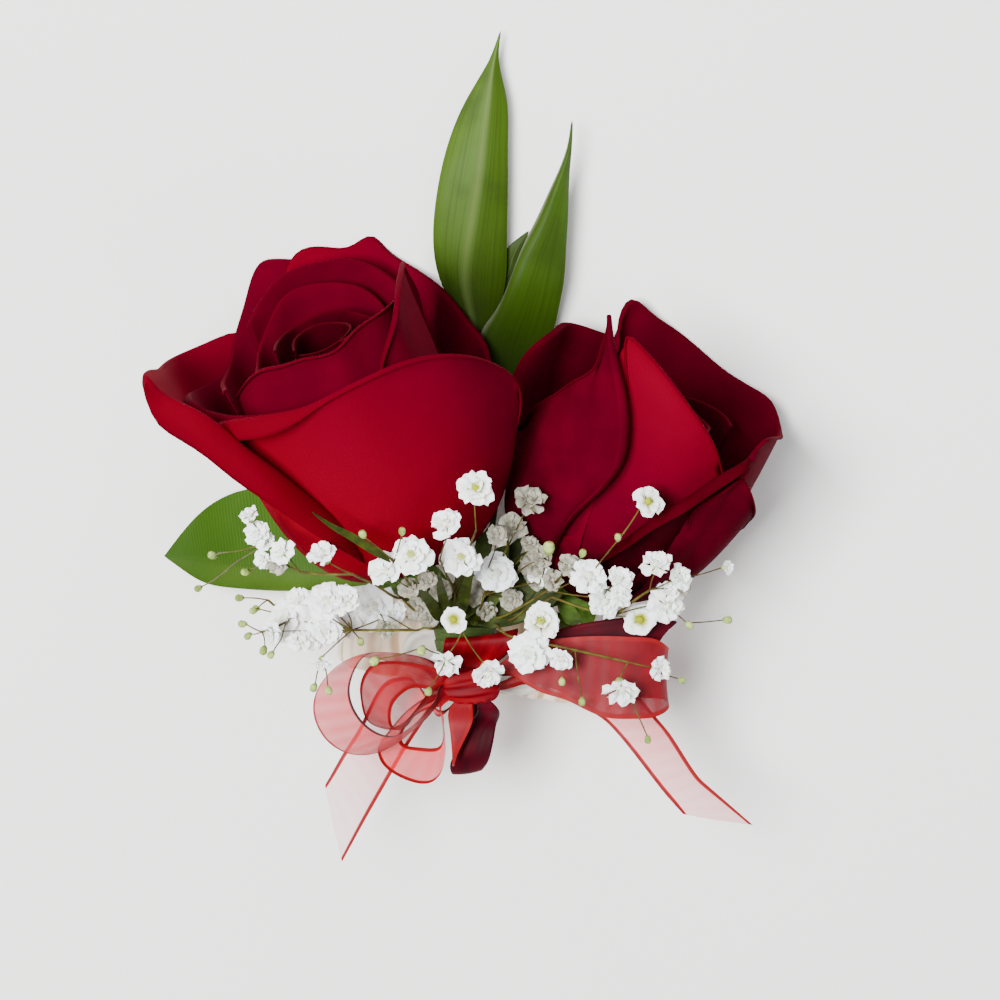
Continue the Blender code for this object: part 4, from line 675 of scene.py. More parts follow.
def rolledLip(grid, lip, rimOut, axis, petal):
    # From the rim on, the heading turns outward and down by 1 - (1 - part)^fold of the lip's turn
    rows = roseMake["lipRows"]
    upward = unit(grid[:, -1] - grid[:, -2])
    downOut = roseMake["lipOut"] * rimOut - roseMake["lipDown"] * axis
    fold = unit(downOut - np.sum(downOut * upward, 1)[:, None] * upward)
    part = (np.arange(rows) + 0.5) / rows
    angle = np.radians(petal["lipTurn"]) * (1 - (1 - part) ** petal["fold"])
    heading = np.cos(angle)[:, None] * upward[:, None] + np.sin(angle)[:, None] * fold[:, None]
    rolled = grid[:, -1:] + np.cumsum((lip / rows)[:, None, None] * heading, axis=1)
    return np.concatenate([grid, rolled], 1)


def petalSurface(rose, petal, phase):
    # u runs along the rim, v from the root to the rim; a lip rolls outward past v = 1, and a wave
    # of sin(u) v^3 ruffles the edge
    base, axis, right, away = roseAxes(rose)
    points = np.asarray(petal["rim"], float)
    edge = spline(np.column_stack([onRose(rose, *points[:, :3].T), points[:, 3]]), roseMake["across"])
    lip = np.maximum(edge[:, 3], roseMake["shortestLip"])
    turn, height, reach = turnHeightReach(edge[:, :3] - base, axis, right, away)
    turn = np.unwrap(turn)
    middle, even = (turn[0] + turn[-1]) / 2, np.ones(len(turn))
    rim = turn, height, reach
    root = (middle + (turn - middle) * petal["rootSpread"], even * roseMake["rootHeight"],
            even * roseMake["rootRadius"])
    v = np.linspace(0, 1, roseMake["along"])
    free = "rows" not in petal
    turns, height, reach = freePetal(petal, root, rim, v) if free else shapedPetal(rose, petal, root, rim, v)
    u = np.linspace(0, 1, roseMake["across"])[:, None]
    ruffle = roseMake["wave"] * np.sin(2 * math.pi * roseMake["waves"] * u + phase) * v ** 3
    reach = reach + ruffle * petal["ruffle"]
    outward = np.cos(turns)[..., None] * right + np.sin(turns)[..., None] * away
    grid = base + height[..., None] * axis + reach[..., None] * outward
    rimOut = outward[:, -1]
    if "side" in petal:
        grid, lip, rimOut = foldedSide(grid, lip, rimOut, v, base, axis, petal["side"])
    return rolledLip(grid, lip, rimOut, axis, petal)


def heartCurl(head, rose):
    # A petal wound tight round the axis: the reach shrinks with the turn, and with v^3 to the top
    base, axis, right, away = roseAxes(rose)
    curl = rose["curl"]
    part = np.linspace(0, 1, curlMake["along"])[:, None]
    v = np.linspace(0, 1, curlMake["up"])[None]
    turn = part * curl["turns"] * 2 * math.pi
    reach = curl["radius"] * (1 - curlMake["narrow"] * part) * (1 - curlMake["close"] * v ** 3)
    top = curl["top"] + curlMake["climb"] * part + curlMake["wave"] * np.sin(2 * turn)
    height = curl["low"] + (top - curl["low"]) * v
    outward = np.cos(turn)[..., None] * right + np.sin(turn)[..., None] * away
    grid = base + height[..., None] * axis + reach[..., None] * outward
    # Painted shade: dark low in the heart and lighter up to its top
    head.grid(grid, curlMake["tone"] + curlMake["shadeUp"] * v + 0 * part, v=v[0])


def rosePieces(name, rose, petals):
    # The petals of one rose with the one wound in its middle, and a small solid heart inside them
    base, axis, _, _ = roseAxes(rose)
    head = Shape()
    lipLevels = np.linspace(*roseMake["lipLevels"], roseMake["lipRows"])
    levels = np.append(np.linspace(0, 1, roseMake["along"]), lipLevels)
    for number, petal in enumerate(petals.values()):
        petal = {**petalUsual, **petal}
        grid = petalSurface(rose, petal, number * roseMake["waveStep"])
        u, v = np.meshgrid(np.linspace(-0.5, 0.5, len(grid)), np.minimum(levels, 1) - 0.5, indexing="ij")
        # Painted light and shade: the petal's tone, which leans along and up it
        shadeLeanAlong, shadeLeanUp = petal["lean"]
        head.grid(grid, np.clip(petal["tone"] + shadeLeanAlong * u + shadeLeanUp * v, 0, 1), v=levels)
    heartCurl(head, rose)
    thicken(head.build(name, [petalVelvet], "rose_petal", [name + "_bloom"]), roseMake["thickness"])
    core, heart = Shape(), rose["heart"]
    profile = [(heart[0][0], 0), *heart, (heart[-1][0], 0)]
    core.turned(base, axis, profile, roseMake["heartSides"], roseMake["heartShade"])
    core.build(name + "_heart", [petalVelvet], "rose_petal", [name + "_bloom"])
    print(name, "made")


# The ramp turns each petal's tone, its painted light and shade, into a red from shaded to lit.
petalLook = {
    "tones": [(0, (28, 0, 4)), (0.5, (82, 0, 22)), (1, (132, 0, 22))],
    "root": (44, 0, 5), "mottle": (112, 0, 30), "vein": (84, 0, 10), "rim": (70, 0, 10),
    "sheen": (230, 10, 60), "mottles": 110, "veins": 30, "grain": 2600,
}


def paintPetals():
    # Deep red in painted light and shade from each petal's tone, with painted shade darker to the root and
    # in the folds, and fine veins that run up the petal
    look = {part: tint(*petalLook[part]) for part in ("root", "mottle", "vein", "rim", "sheen")}
    finish = Finish("petalVelvet", **{"Sheen Weight": 0.02, "Sheen Roughness": 0.3,
                                      "Sheen Tint": look["sheen"], "Specular IOR Level": 0.01})
    up = finish.across(1)
    body = finish.ramp(finish.attribute("tone"), *((at, tint(*colour)) for at, colour in petalLook["tones"]))
    # Painted shade: the petals darken to the root colour low down, deep inside the bloom
    root = up.over(0, 0.4)
    shaded = finish.mix(root, look["root"], body)
    mottle = finish.noise(finish.place(), petalLook["mottles"], 3)
    patchy = finish.mix(mottle.over(0.35, 0.75) * 0.2 * root, shaded, look["mottle"])
    veins = finish.bands(finish.surface((petalLook["veins"], 1.2, 1)), 1, 3.5)
    lined = finish.mix(veins.over(0.75, 1) * 0.05, patchy, look["vein"])
    finish.set(Base_Color=finish.mix(up.over(0.96, 1.08) * 0.5, lined, look["rim"]),
               Roughness=0.7 + 0.15 * mottle)
    grain = finish.noise(finish.place(), petalLook["grain"])
    finish.bump(veins * 0.03 + grain * 0.35 + mottle * 0.5, 0.2, 0.5)
    return finish


petalVelvet = paintPetals()
rosePieces("rose_left", leftRose, leftPetals)
rosePieces("rose_right", rightRose, rightPetals)


def paintGreen(name, light, dark, roughness, ridges):
    # Green stems, tape and cups: mottled, with fine ridges along the piece
    finish = Finish(name, **{"Specular IOR Level": 0.12})
    spots = finish.noise(finish.place(), 400, 3)
    lines = finish.bands(finish.surface((1, ridges, 1)), 1, 0.8)
    tone = finish.mix(spots.over(0.3, 0.7), tint(*light), tint(*dark))
    finish.set(Base_Color=finish.mix(lines.over(0.5, 1) * 0.3, tone, tint(*dark)),
               Roughness=roughness + 0.15 * spots)
    finish.bump(spots * 0.5 + lines, 0.12, 0.6)
    return finish


# stemGreen is darker than a stem's own green: partly painted shade, for the stems, stalks and blades that lie
# deep among the flowers.
stemGreen = paintGreen("stemGreen", (56, 68, 14), (34, 42, 6), 0.5, 6)
sepalGreen = paintGreen("sepalGreen", (96, 126, 50), (62, 90, 30), 0.5, 9)
twigGreen = paintGreen("twigGreen", (92, 90, 32), (66, 52, 20), 0.5, 4)
budGreen = paintGreen("budGreen", (176, 192, 112), (108, 134, 58), 0.55, 8)

# An oval wrap that is wider on top; its turns of tape step out by step, and each stem sinks into it
bindingMake = {
    "x": 3, "top": 9, "bottom": -7, "topRadii": (6.5, 5.3), "footRadii": (5, 4.4), "sink": 0.6,
    "rows": 90, "sides": 64, "wraps": 7, "step": 0.35, "rounded": 0.06,
    "light": (58, 78, 24), "dark": (38, 54, 12), "seam": (22, 34, 8), "crinkles": (26, 5, 1),
}


def paintTape():
    # Crepe tape: fine crinkles round the stems and a darker seam at each turn; its greens are darker than
    # the tape's own, as painted shade under the flowers
    light, dark, seam = (tint(*bindingMake[part]) for part in ("light", "dark", "seam"))
    finish = Finish("stemTape", **{"Specular IOR Level": 0.3})
    crinkle = finish.noise(finish.surface(bindingMake["crinkles"]), 6, 3)
    tone = finish.mix(crinkle.over(0.35, 0.7), light, dark)
    finish.set(Base_Color=finish.mix(finish.attribute("tone").over(0.82, 1) * 0.6, tone, seam),
               Roughness=0.62 + 0.2 * crinkle)
    finish.bump(crinkle, 0.25, 0.8)
    return finish


def bindingPiece():
    # An oval wrap of tape: the radius grows through each turn of the spiral and steps back in
    make = bindingMake
    h = np.linspace(0, 1, make["rows"])[:, None]
    turn = np.linspace(0, 2 * math.pi, make["sides"] + 1)[None]
    spiral = np.mod(h * make["wraps"] + turn / (2 * math.pi), 1)
    ends = np.sqrt(smooth(0, make["rounded"], h) * smooth(0, make["rounded"], 1 - h))
    radii = [low + (top - low) * h for low, top in zip(make["footRadii"], make["topRadii"])]
    swell = make["step"] * (spiral - 1)
    grid = np.stack([make["x"] + (radii[0] + swell) * ends * np.cos(turn),
                     make["bottom"] + (make["top"] - make["bottom"]) * h + 0 * turn,
                     (radii[1] + swell) * ends * np.sin(turn)], -1)
    shape = Shape()
    shape.grid(grid, spiral)
    shape.build("stem_tape", [paintTape()], "stem_tape", ["stem_binding"])


def stemFoot(foot):
    # The point on top of the binding where a stem goes in
    return np.array([foot[0], bindingMake["top"] - bindingMake["sink"], foot[1]])


# Hip: heights up the rose's axis and radii. Sepal: distance out from the axis, height and half width.
calyxMake = {
    "hip": [(-0.3, 4.2), (-1.2, 4.7), (-2.4, 4.6), (-3.6, 4.1), (-5, 3.2), (-6, 2.4), (-7, 1.8)],
    "hipRows": 14, "hipSides": 24,
    "sepal": [(3, -2.2, 2.1), (4.8, -2.3, 2.3), (6.2, -2.9, 1.9), (7.6, -4.3, 1.2), (8.6, -6.2, 0.1)],
    "sepals": 5, "sepalRows": 12, "sepalColumns": 7, "thickness": 0.4, "cupped": 0.5,
    "stemRadius": 1.5, "stemStart": 5, "stemStraight": 2.2, "stemLift": (0, 2.2, 0.6),
    "stemRows": 30, "stemSides": 16,
}


def calyxPiece(name, rose, foot):
    # The hip, five sepals that curve back from it and the stem that sweeps down to the binding
    make = calyxMake
    base, axis, right, away = roseAxes(rose)
    shape = Shape()
    profile = spline([(height, radius, 0) for height, radius in make["hip"]], make["hipRows"])[:, :2]
    shape.turned(base, axis, [(profile[0, 0], 0), *profile, (profile[-1, 0], 0)], make["hipSides"])
    rows = spline(make["sepal"], make["sepalRows"])
    t = np.linspace(-1, 1, make["sepalColumns"])
    for turn in np.arange(make["sepals"]) * 2 * math.pi / make["sepals"]:
        out = math.cos(turn) * right + math.sin(turn) * away
        side = np.cross(axis, out)
        spine = base + rows[:, :1] * out + rows[:, 1:2] * axis
        cupped = (make["cupped"] * t ** 2)[None, :, None] * axis
        shape.lens(spine[:, None] + (rows[:, 2:] * t)[..., None] * side + cupped, make["thickness"])
    start, low = base - axis * make["stemStart"], stemFoot(foot)
    path = [start, start - axis * make["stemStraight"], (start + low) / 2 + np.array(make["stemLift"]),
            low + np.array([0, make["stemRadius"] * 2, 0]), low]
    shape.tube(spline(path, make["stemRows"]), make["stemRadius"], make["stemSides"], look=1)
    shape.build(name.replace("calyx", "cup"), [sepalGreen, stemGreen], "rose_green", [name])


# A leaf's wave and a stalk from the blade's foot to the binding, which it enters straight down
leafMake = {
    "rows": 56, "across": 17, "thickness": 0.4, "archPower": 1.6, "wave": 0.25, "waves": 3, "waveSlant": 1.5,
    "stalkRadius": 0.8, "stalkTaper": (0.5, 1), "stalkRows": 28, "stalkSides": 10, "stalkStraight": 2.5,
}

# Colours of the left side and the right side, which differ as painted light and shade on a half turned
# to the light or away from it, the rib, and the shade, a dark that is real in patches and painted shade
# towards the stalk; veins over the width and bands along it; where the rib is over the width, half its
# width there, and how strong the streaks are.
plainLeaf = {"veins": 34, "along": 0.3, "ribAt": 0.5, "ribWide": 0.06, "streaky": 0}
leafLooks = {
    "leaf_tall": {"name": "tallLeaf", "left": (64, 92, 18), "right": (54, 80, 6), "rib": (98, 116, 58),
                  "dark": (28, 42, 2), "ribWide": 0.12, "streaky": 0.38},
    "leaf_folded": {"name": "foldedLeaf", "left": (52, 78, 8), "right": (54, 82, 10), "rib": (176, 180, 150),
                    "dark": (28, 44, 2), "ribAt": 0.02, "ribWide": 0.3, "streaky": 0.38},
    "leaf_behind": {"name": "shadedLeaf", "left": (50, 66, 22), "right": (44, 60, 16), "rib": (70, 86, 44),
                    "dark": (26, 40, 8), "veins": 24},
    "leaf_broad": {"name": "broadLeaf", "left": (54, 88, 10), "right": (66, 94, 24), "rib": (48, 76, 12),
                   "dark": (40, 70, 5), "veins": 5, "along": 22},
}


def paintLeaf(look):
    # A painted lit or shaded colour each side of the rib, painted shade towards the stalk, fine veins, long
    # streaks and a waxy skin
    look = {**plainLeaf, **look}
    left, right, rib, dark = (tint(*look[part]) for part in ("left", "right", "rib", "dark"))
    finish = Finish(look["name"], **{"Coat Weight": 0.02, "Coat Roughness": 0.4, "Specular IOR Level": 0.14})
    along, side = finish.across(0), finish.across(1)
    body = finish.mix(side.over(0.44, 0.56), left, right)
    patches = finish.noise(finish.place(), 90, 3)
    streaks = finish.noise(finish.surface((1.2, 30, 1)), 1, 3)
    lines = finish.bands(finish.surface((look["along"], look["veins"], 1)), 1, 1.2)
    # Darker in random patches, in painted shade towards the stalk, in streaks and along the veins
    for shade in (patches.over(0.4, 0.75) * 0.45, along.over(0.35, 1) * 0.75,
                  streaks.over(0.42, 0.68) * look["streaky"], lines.over(0.6, 1) * 0.12):
        body = finish.mix(shade, body, dark)
    ribMask = 1 - abs(side - look["ribAt"]).over(0, look["ribWide"])
    finish.set(Base_Color=finish.mix(ribMask * (0.55 - along * 0.25), body, rib),
               Roughness=0.5 + 0.2 * patches)
    grain = finish.noise(finish.place(), 1800, 2)
    finish.bump(lines * 0.3 + grain * 0.25 - ribMask, 0.16, 0.5)
    return finish


def leafSurface(rows, count, across):
    # Cross rows from the left edge over the midrib to the right one: middle + half t + arch |t|^1.6
    rows = np.asarray(rows, float)
    edges = [seen(rows[:, 2], rows[:, 3], rows[:, 6] + rows[:, 7]), seen(rows[:, 0], rows[:, 1], rows[:, 6]),
             seen(rows[:, 4], rows[:, 5], rows[:, 6])]
    even = spline(np.concatenate(edges, 1), count)
    middle, left, right = even[:, :3], even[:, 3:6], even[:, 6:]
    t = np.linspace(-1, 1, across)[None, :, None]
    half, arch = (right - left)[:, None] / 2, ((left + right) / 2 - middle)[:, None]
    return middle[:, None] + half * t + arch * np.abs(t) ** leafMake["archPower"], middle


def leafPiece(name, rows, foot, by, finish):
    # The blade as a thin lens, with sin(u + t) t^2 sin(pi u) as the wave of its edges, and its stalk
    # down to the binding
    make = leafMake
    blade, middle = leafSurface(rows, make["rows"], make["across"])
    u, t = np.linspace(0, 1, make["rows"])[:, None], np.linspace(-1, 1, make["across"])[None]
    slant = 2 * math.pi * make["waves"] * u + make["waveSlant"] * t
    wave = make["wave"] * np.sin(slant) * t ** 2 * np.sin(math.pi * u)
    blade = blade + wave[..., None] * np.array([0, 0, 1.0])
    blade[0] = blade[0].mean(axis=0)
    low = stemFoot(foot)
    path = [middle[-3], middle[-1], by, low + np.array([0, make["stalkStraight"], 0]), low]
    radii = np.linspace(*make["stalkTaper"], make["stalkRows"]) * make["stalkRadius"]
    shape = Shape()
    shape.lens(blade, make["thickness"])
    shape.tube(spline(path, make["stalkRows"]), radii, make["stalkSides"], look=1)
    shape.build(name + "_blade", [finish, stemGreen], "leaf", [name])


# A leaf's rows run from its tip to its stalk: left edge x y, midrib x y, right edge x y,
# depth of the edges, and how far the midrib stands in front of them.
leaves = {
    "leaf_tall": [
        (10.2, 127.6, 10.2, 127.6, 10.2, 127.6, 4, 0), (7.8, 121.6, 8.8, 121.6, 9.8, 121.6, 3.2, 0.5),
        (3.2, 113.6, 7.6, 113.6, 11.4, 113.6, 2, 1.4),
        (-0.2, 105.6, 6.6, 105.6, 11.6, 105.6, 0.4, 1.8), (-2.2, 97.6, 5.6, 97.6, 11.6, 97.6, -1, 2),
        (-3.4, 86.6, 3.8, 86.6, 11.4, 86, -3.6, 2), (-1.6, 76.6, 3, 76.6, 11, 76.6, -7.2, 1.8),
        (3, 67.6, 5, 67.6, 9, 67.6, -10.2, 1.2), (5, 59.2, 6, 59.2, 7.8, 59.2, -12.8, 0.7),
    ],
    "leaf_folded": [
        (24.4, 109.6, 24.4, 109.6, 24.4, 109.6, 4, 0), (23.2, 103.2, 23.8, 103.4, 24.2, 103.6, 3, 1),
        (20, 95.6, 21.2, 95.6, 23.8, 96, 1.6, 2), (17.2, 89.6, 19, 89.4, 23.6, 90, 0.2, 2.6),
        (14.4, 83.6, 15.8, 82.8, 23.2, 83.2, -1.2, 3), (12.2, 77.6, 13.4, 76.6, 22.8, 77.6, -3, 3),
        (9, 71.2, 11, 70, 21.6, 71.2, -6, 2.2), (6, 66, 8.8, 64, 19.6, 65.2, -8.6, 1.6),
        (8.8, 59.2, 10.6, 58, 14.2, 58.4, -10.6, 1),
    ],
    "leaf_behind": [
        (15.8, 87.4, 15.8, 87.4, 15.8, 87.4, -5.4, 0), (11.8, 84.4, 13.4, 84.2, 15, 84.2, -5.8, 0.4),
        (9.2, 79.2, 11.6, 79, 14, 79.2, -8.6, 0.6), (8.3, 71.6, 10.4, 71.2, 12.6, 71.6, -11.2, 0.5),
        (9.1, 63.6, 10.2, 63.2, 11.4, 63.6, -12.2, 0.4),
    ],
    "leaf_broad": [
        (-57.2, 22.4, -57.2, 22.4, -57.2, 22.4, -10, 0), (-54, 26.6, -53.2, 22, -52, 18.6, -11.5, 1),
        (-50, 31, -48.8, 21.6, -47.6, 16.6, -13, 1.4), (-44.4, 34.6, -42.8, 21, -41.2, 15.8, -15, 1.6),
        (-37.6, 36, -36, 20.2, -34.4, 15.4, -16.5, 1.8),
        (-30, 34.4, -28.8, 19.6, -27.6, 15.6, -17, 1.8), (-22.8, 30, -22, 19, -21, 16.2, -16.5, 1.4),
        (-15.6, 24, -15.2, 18.6, -14.4, 17, -15, 1),
    ],
}

# Where each leaf's stalk ends on top of the stem binding (x, z), and a point that it passes.
stalks = {
    "leaf_tall": ((1.4, -4), (3.6, 32, -14)),
    "leaf_folded": ((5.4, -3.6), (9, 32, -12)),
    "leaf_behind": ((3.5, -4), (7.4, 36, -13.6)),
    "leaf_broad": ((-1.6, -3), (-8, 17, -9.5)),
}

paintedLeaves = {leafName: paintLeaf(look) for leafName, look in leafLooks.items()}
bindingPiece()
calyxPiece("rose_left_calyx", leftRose, (0.2, -0.8))
calyxPiece("rose_right_calyx", rightRose, (6.2, -0.8))
for leafName, leafRows in leaves.items():
    leafPiece(leafName, leafRows, *stalks[leafName], paintedLeaves[leafName])
print("stems and leaves made")

# Widths at which the swell and the ripples reach their full height, in mm. A ribbon's two edges head
# for the knot's centre, inKnot (mm) off it in depth, and tuck is how much of that way they go.
ribbonMake = {
    "rows": 96, "columns": 13, "tuck": 0.62, "inKnot": (-1.5, -0.5), "swell": 0.5, "swellWidth": 10,
    "ripple": 0.3, "rippleWidth": 6, "ripples": 5.5, "rippleSlant": 3, "satinThickness": 0.25,
    "gathered": 0.97, "gatherPower": 1.2, "leastWidth": 10.2, "leastShare": 0.31,
}

# How much light each sheer piece stops where it is flat: one layer, or cloth gathered all along
density = {"bow_loop_right": 0.93, "bow_loop_point": 0.98, "bow_tail_left": 0.24, "bow_tail_right": 0.42,
           "bow_loop_left": 0.84, "bow_loop_left_inner": 0.87, "bow_loop_low": 0.76}

# Colours of one layer, of gathered cloth (light and dark) and of the woven edge, then how closely
# the threads of the weave follow each other
organzaLook = {"sheen": (255, 120, 120), "flat": (218, 30, 46), "light": (122, 2, 18), "dark": (100, 0, 15),
               "edge": (126, 0, 8)}
weave = 30


def paintOrganza(name, farEdge):
    # Sheer red: bright where light comes through one layer, deep where it is gathered, with a denser
    # woven edge along each side; the tone is the distance from the edge and the hold the density
    look = {part: tint(*colour) for part, colour in organzaLook.items()}
    finish = Finish(name, **{"Sheen Weight": 0.1, "Sheen Tint": look["sheen"], "Specular IOR Level": 0.2})
    edge = 1 - finish.attribute("tone").over(0.06, 0.1)
    dense = finish.attribute("hold")
    warp = finish.bands(finish.surface((1, weave, 1)), 1, 0.15)
    weft = finish.bands(finish.surface((weave, 1, 1)), 1, 0.15)
    cloud = finish.noise(finish.surface((1.4, 1.4, 1)), 1.2, 2)
    threads = (warp + weft) * 0.5
    thick = finish.mix(cloud.over(0.3, 0.7), look["light"], look["dark"])
    body = finish.mix(dense.over(0.8, 0.93), look["flat"], thick)
    edgeTint = finish.mix(finish.across(1).over(0.2, 0.5), look["edge"], tint(*farEdge))
    finish.set(Base_Color=finish.mix(edge, body, edgeTint),
               Roughness=0.45 + 0.2 * threads,
               Alpha=dense + 0.1 * (threads - 0.5) + 0.1 * (cloud - 0.5) + edge)
    finish.bump(threads, 0.05, 0.4)
    return finish


def paintSatin(name, light, dark, pitch):
    # Satin: long floats of thread give a fine line along it, and soft folds get painted light and shade,
    # a noise between the dark and the light colour
    finish = Finish(name, **{"Specular IOR Level": 0.08})
    folds = finish.noise(finish.surface((0.6, 2.4, 1)), 1.4, 2)
    threads = finish.bands(finish.surface((1, pitch, 1)), 1, 0.1)
    tone = finish.mix(folds.over(0.3, 0.7), tint(*dark), tint(*light))
    finish.set(Base_Color=tone, Roughness=0.48 + 0.12 * folds)
    finish.bump(folds + threads * 0.02, 0.6, 0.6)
    return finish


redOrganza = paintOrganza("redOrganza", organzaLook["edge"])
# The left loop's far edge is near black: painted shade along the inner edge of the loop.
shadedRingOrganza = paintOrganza("shadedRingOrganza", (26, 0, 5))
# One satin in two copies: a darker one as painted shade for the loops that lie low, and a lighter one as
# painted light for the knot and the upper loop, which face the light.
shadedSatin = paintSatin("shadedSatin", (78, 0, 18), (44, 0, 10), 40)
litSatin = paintSatin("litSatin", (124, 0, 14), (78, 0, 10), 40)
clothFinish = {"bow_loop_left": shadedRingOrganza, "satin_loop_upper": litSatin}

knotMake = {"centre": (4.3, -3.2, 7.75), "half": (5.7, 4, 2), "rows": 40, "sides": 64, "fullness": 0.6,
            "creases": 9, "depth": 0.2, "twist": 1.4, "uvSize": (1.2, 2)}


def knotPiece():
    # A plump wrap: rings that shrink to both ends, creased round by |sin| of the turn
    make = knotMake
    angle = np.linspace(-math.pi / 2, math.pi / 2, make["rows"])[:, None]
    turn = np.linspace(0, 2 * math.pi, make["sides"] + 1)[None]
    reach = np.maximum(np.cos(angle), 0) ** make["fullness"]
    crease = 1 - make["depth"] * np.abs(np.sin(make["creases"] / 2 * turn + make["twist"] * np.sin(angle)))
    grid = np.stack([make["centre"][0] + make["half"][0] * np.sin(angle) + 0 * turn,
                     make["centre"][1] + make["half"][1] * reach * crease * np.cos(turn),
                     make["centre"][2] + make["half"][2] * reach * crease * np.sin(turn)], -1)
    u, v = (np.linspace(0, size, count) for size, count in zip(make["uvSize"], grid.shape))
    shape = Shape()
    shape.grid(grid, u=u, v=v)
    shape.build("ribbon_knot", [litSatin], "satin_ribbon", ["bow_knot"])


def clothSize(grid):
    # Width, length and area of a ribbon's grid, in metres
    along = np.linalg.norm(np.diff(grid, axis=0), axis=-1).sum(axis=0)
    over = np.linalg.norm(np.diff(grid, axis=1), axis=-1).sum(axis=1)
    quads = np.cross(grid[1:, 1:] - grid[:-1, :-1], grid[1:, :-1] - grid[:-1, 1:])
    area = np.linalg.norm(quads, axis=-1).sum() / 2e6
    width, length = max(over.max(), ribbonMake["leastWidth"]) / 1000, along.max() / 1000
    return width, length, min(max(area, ribbonMake["leastShare"] * width * length), width * length)


def ribbonGrid(name, rows):
    # Between its two edges the cloth swells as 1 - t^2, with ripples that die out from the knot. The
    # hold is 1 at the knot and falls to 0 half way round a loop, or at a tail's end.
    make = ribbonMake
    rows = np.asarray(rows, float)
    edges = np.concatenate([seen(*rows[:, :3].T), seen(*rows[:, 3:].T)], 1)
    x, y, z = knotMake["centre"]
    inKnot = np.concatenate([(x, y, z + depth) for depth in make["inKnot"]])
    tucked = edges + (inKnot - edges) * make["tuck"]
    loop = "loop" in name
    edges = np.concatenate([tucked[:1], edges, tucked[-1:] if loop else edges[:0]])
    even = spline(edges, make["rows"])
    t = np.linspace(-1, 1, make["columns"])[None, :, None]
    first, second = even[:, None, :3], even[:, None, 3:]
    grid = (first + second) / 2 + (second - first) / 2 * t
    normal = unit(np.cross(np.gradient(grid, axis=0), np.gradient(grid, axis=1)))
    width = np.linalg.norm(second - first, axis=-1, keepdims=True)
    u = np.linspace(0, 1, make["rows"])[:, None, None]
    hold = 1 - np.sin(math.pi * u) if loop else 1 - u
    swell = make["swell"] * np.minimum(width / make["swellWidth"], 1) * (1 - t ** 2) * (1 - hold)
    slant = make["ripples"] * math.pi * t + make["rippleSlant"] * u
    ripple = make["ripple"] * np.sin(slant) * hold ** 2 * np.minimum(width / make["rippleWidth"], 1)
    return grid + (swell + ripple) * normal, width[..., 0], t[..., 0], hold[..., 0]


def ribbonPiece(name, rows):
    # The cloth's uv and its distance from the edge are in cm of real ribbon, so its weave is true
    grid, width, t, hold = ribbonGrid(name, rows)
    steps = np.diff(grid[:, ribbonMake["columns"] // 2], axis=0)
    length = np.append(0, np.cumsum(np.linalg.norm(steps, axis=-1))) / 10
    flatDensity = density.get(name, 1)
    dense = flatDensity + (ribbonMake["gathered"] - flatDensity) * hold ** ribbonMake["gatherPower"]
    shape = Shape()
    shape.grid(grid, (1 - np.abs(t)) * width / 2 / 10, u=length,
               v=np.linspace(0, width.mean() / 10, ribbonMake["columns"]), hold=dense)
    satin = name.startswith("satin")
    finish = clothFinish.get(name, shadedSatin if satin else redOrganza)
    slot = "satin_ribbon" if satin else "sheer_ribbon"
    piece = shape.build(name + "_cloth", [finish], slot, [name], closed=False)
    if satin:
        thicken(piece, ribbonMake["satinThickness"])
    width, length, area = clothSize(grid)
    "hung" if "tail" in name else "gathered"


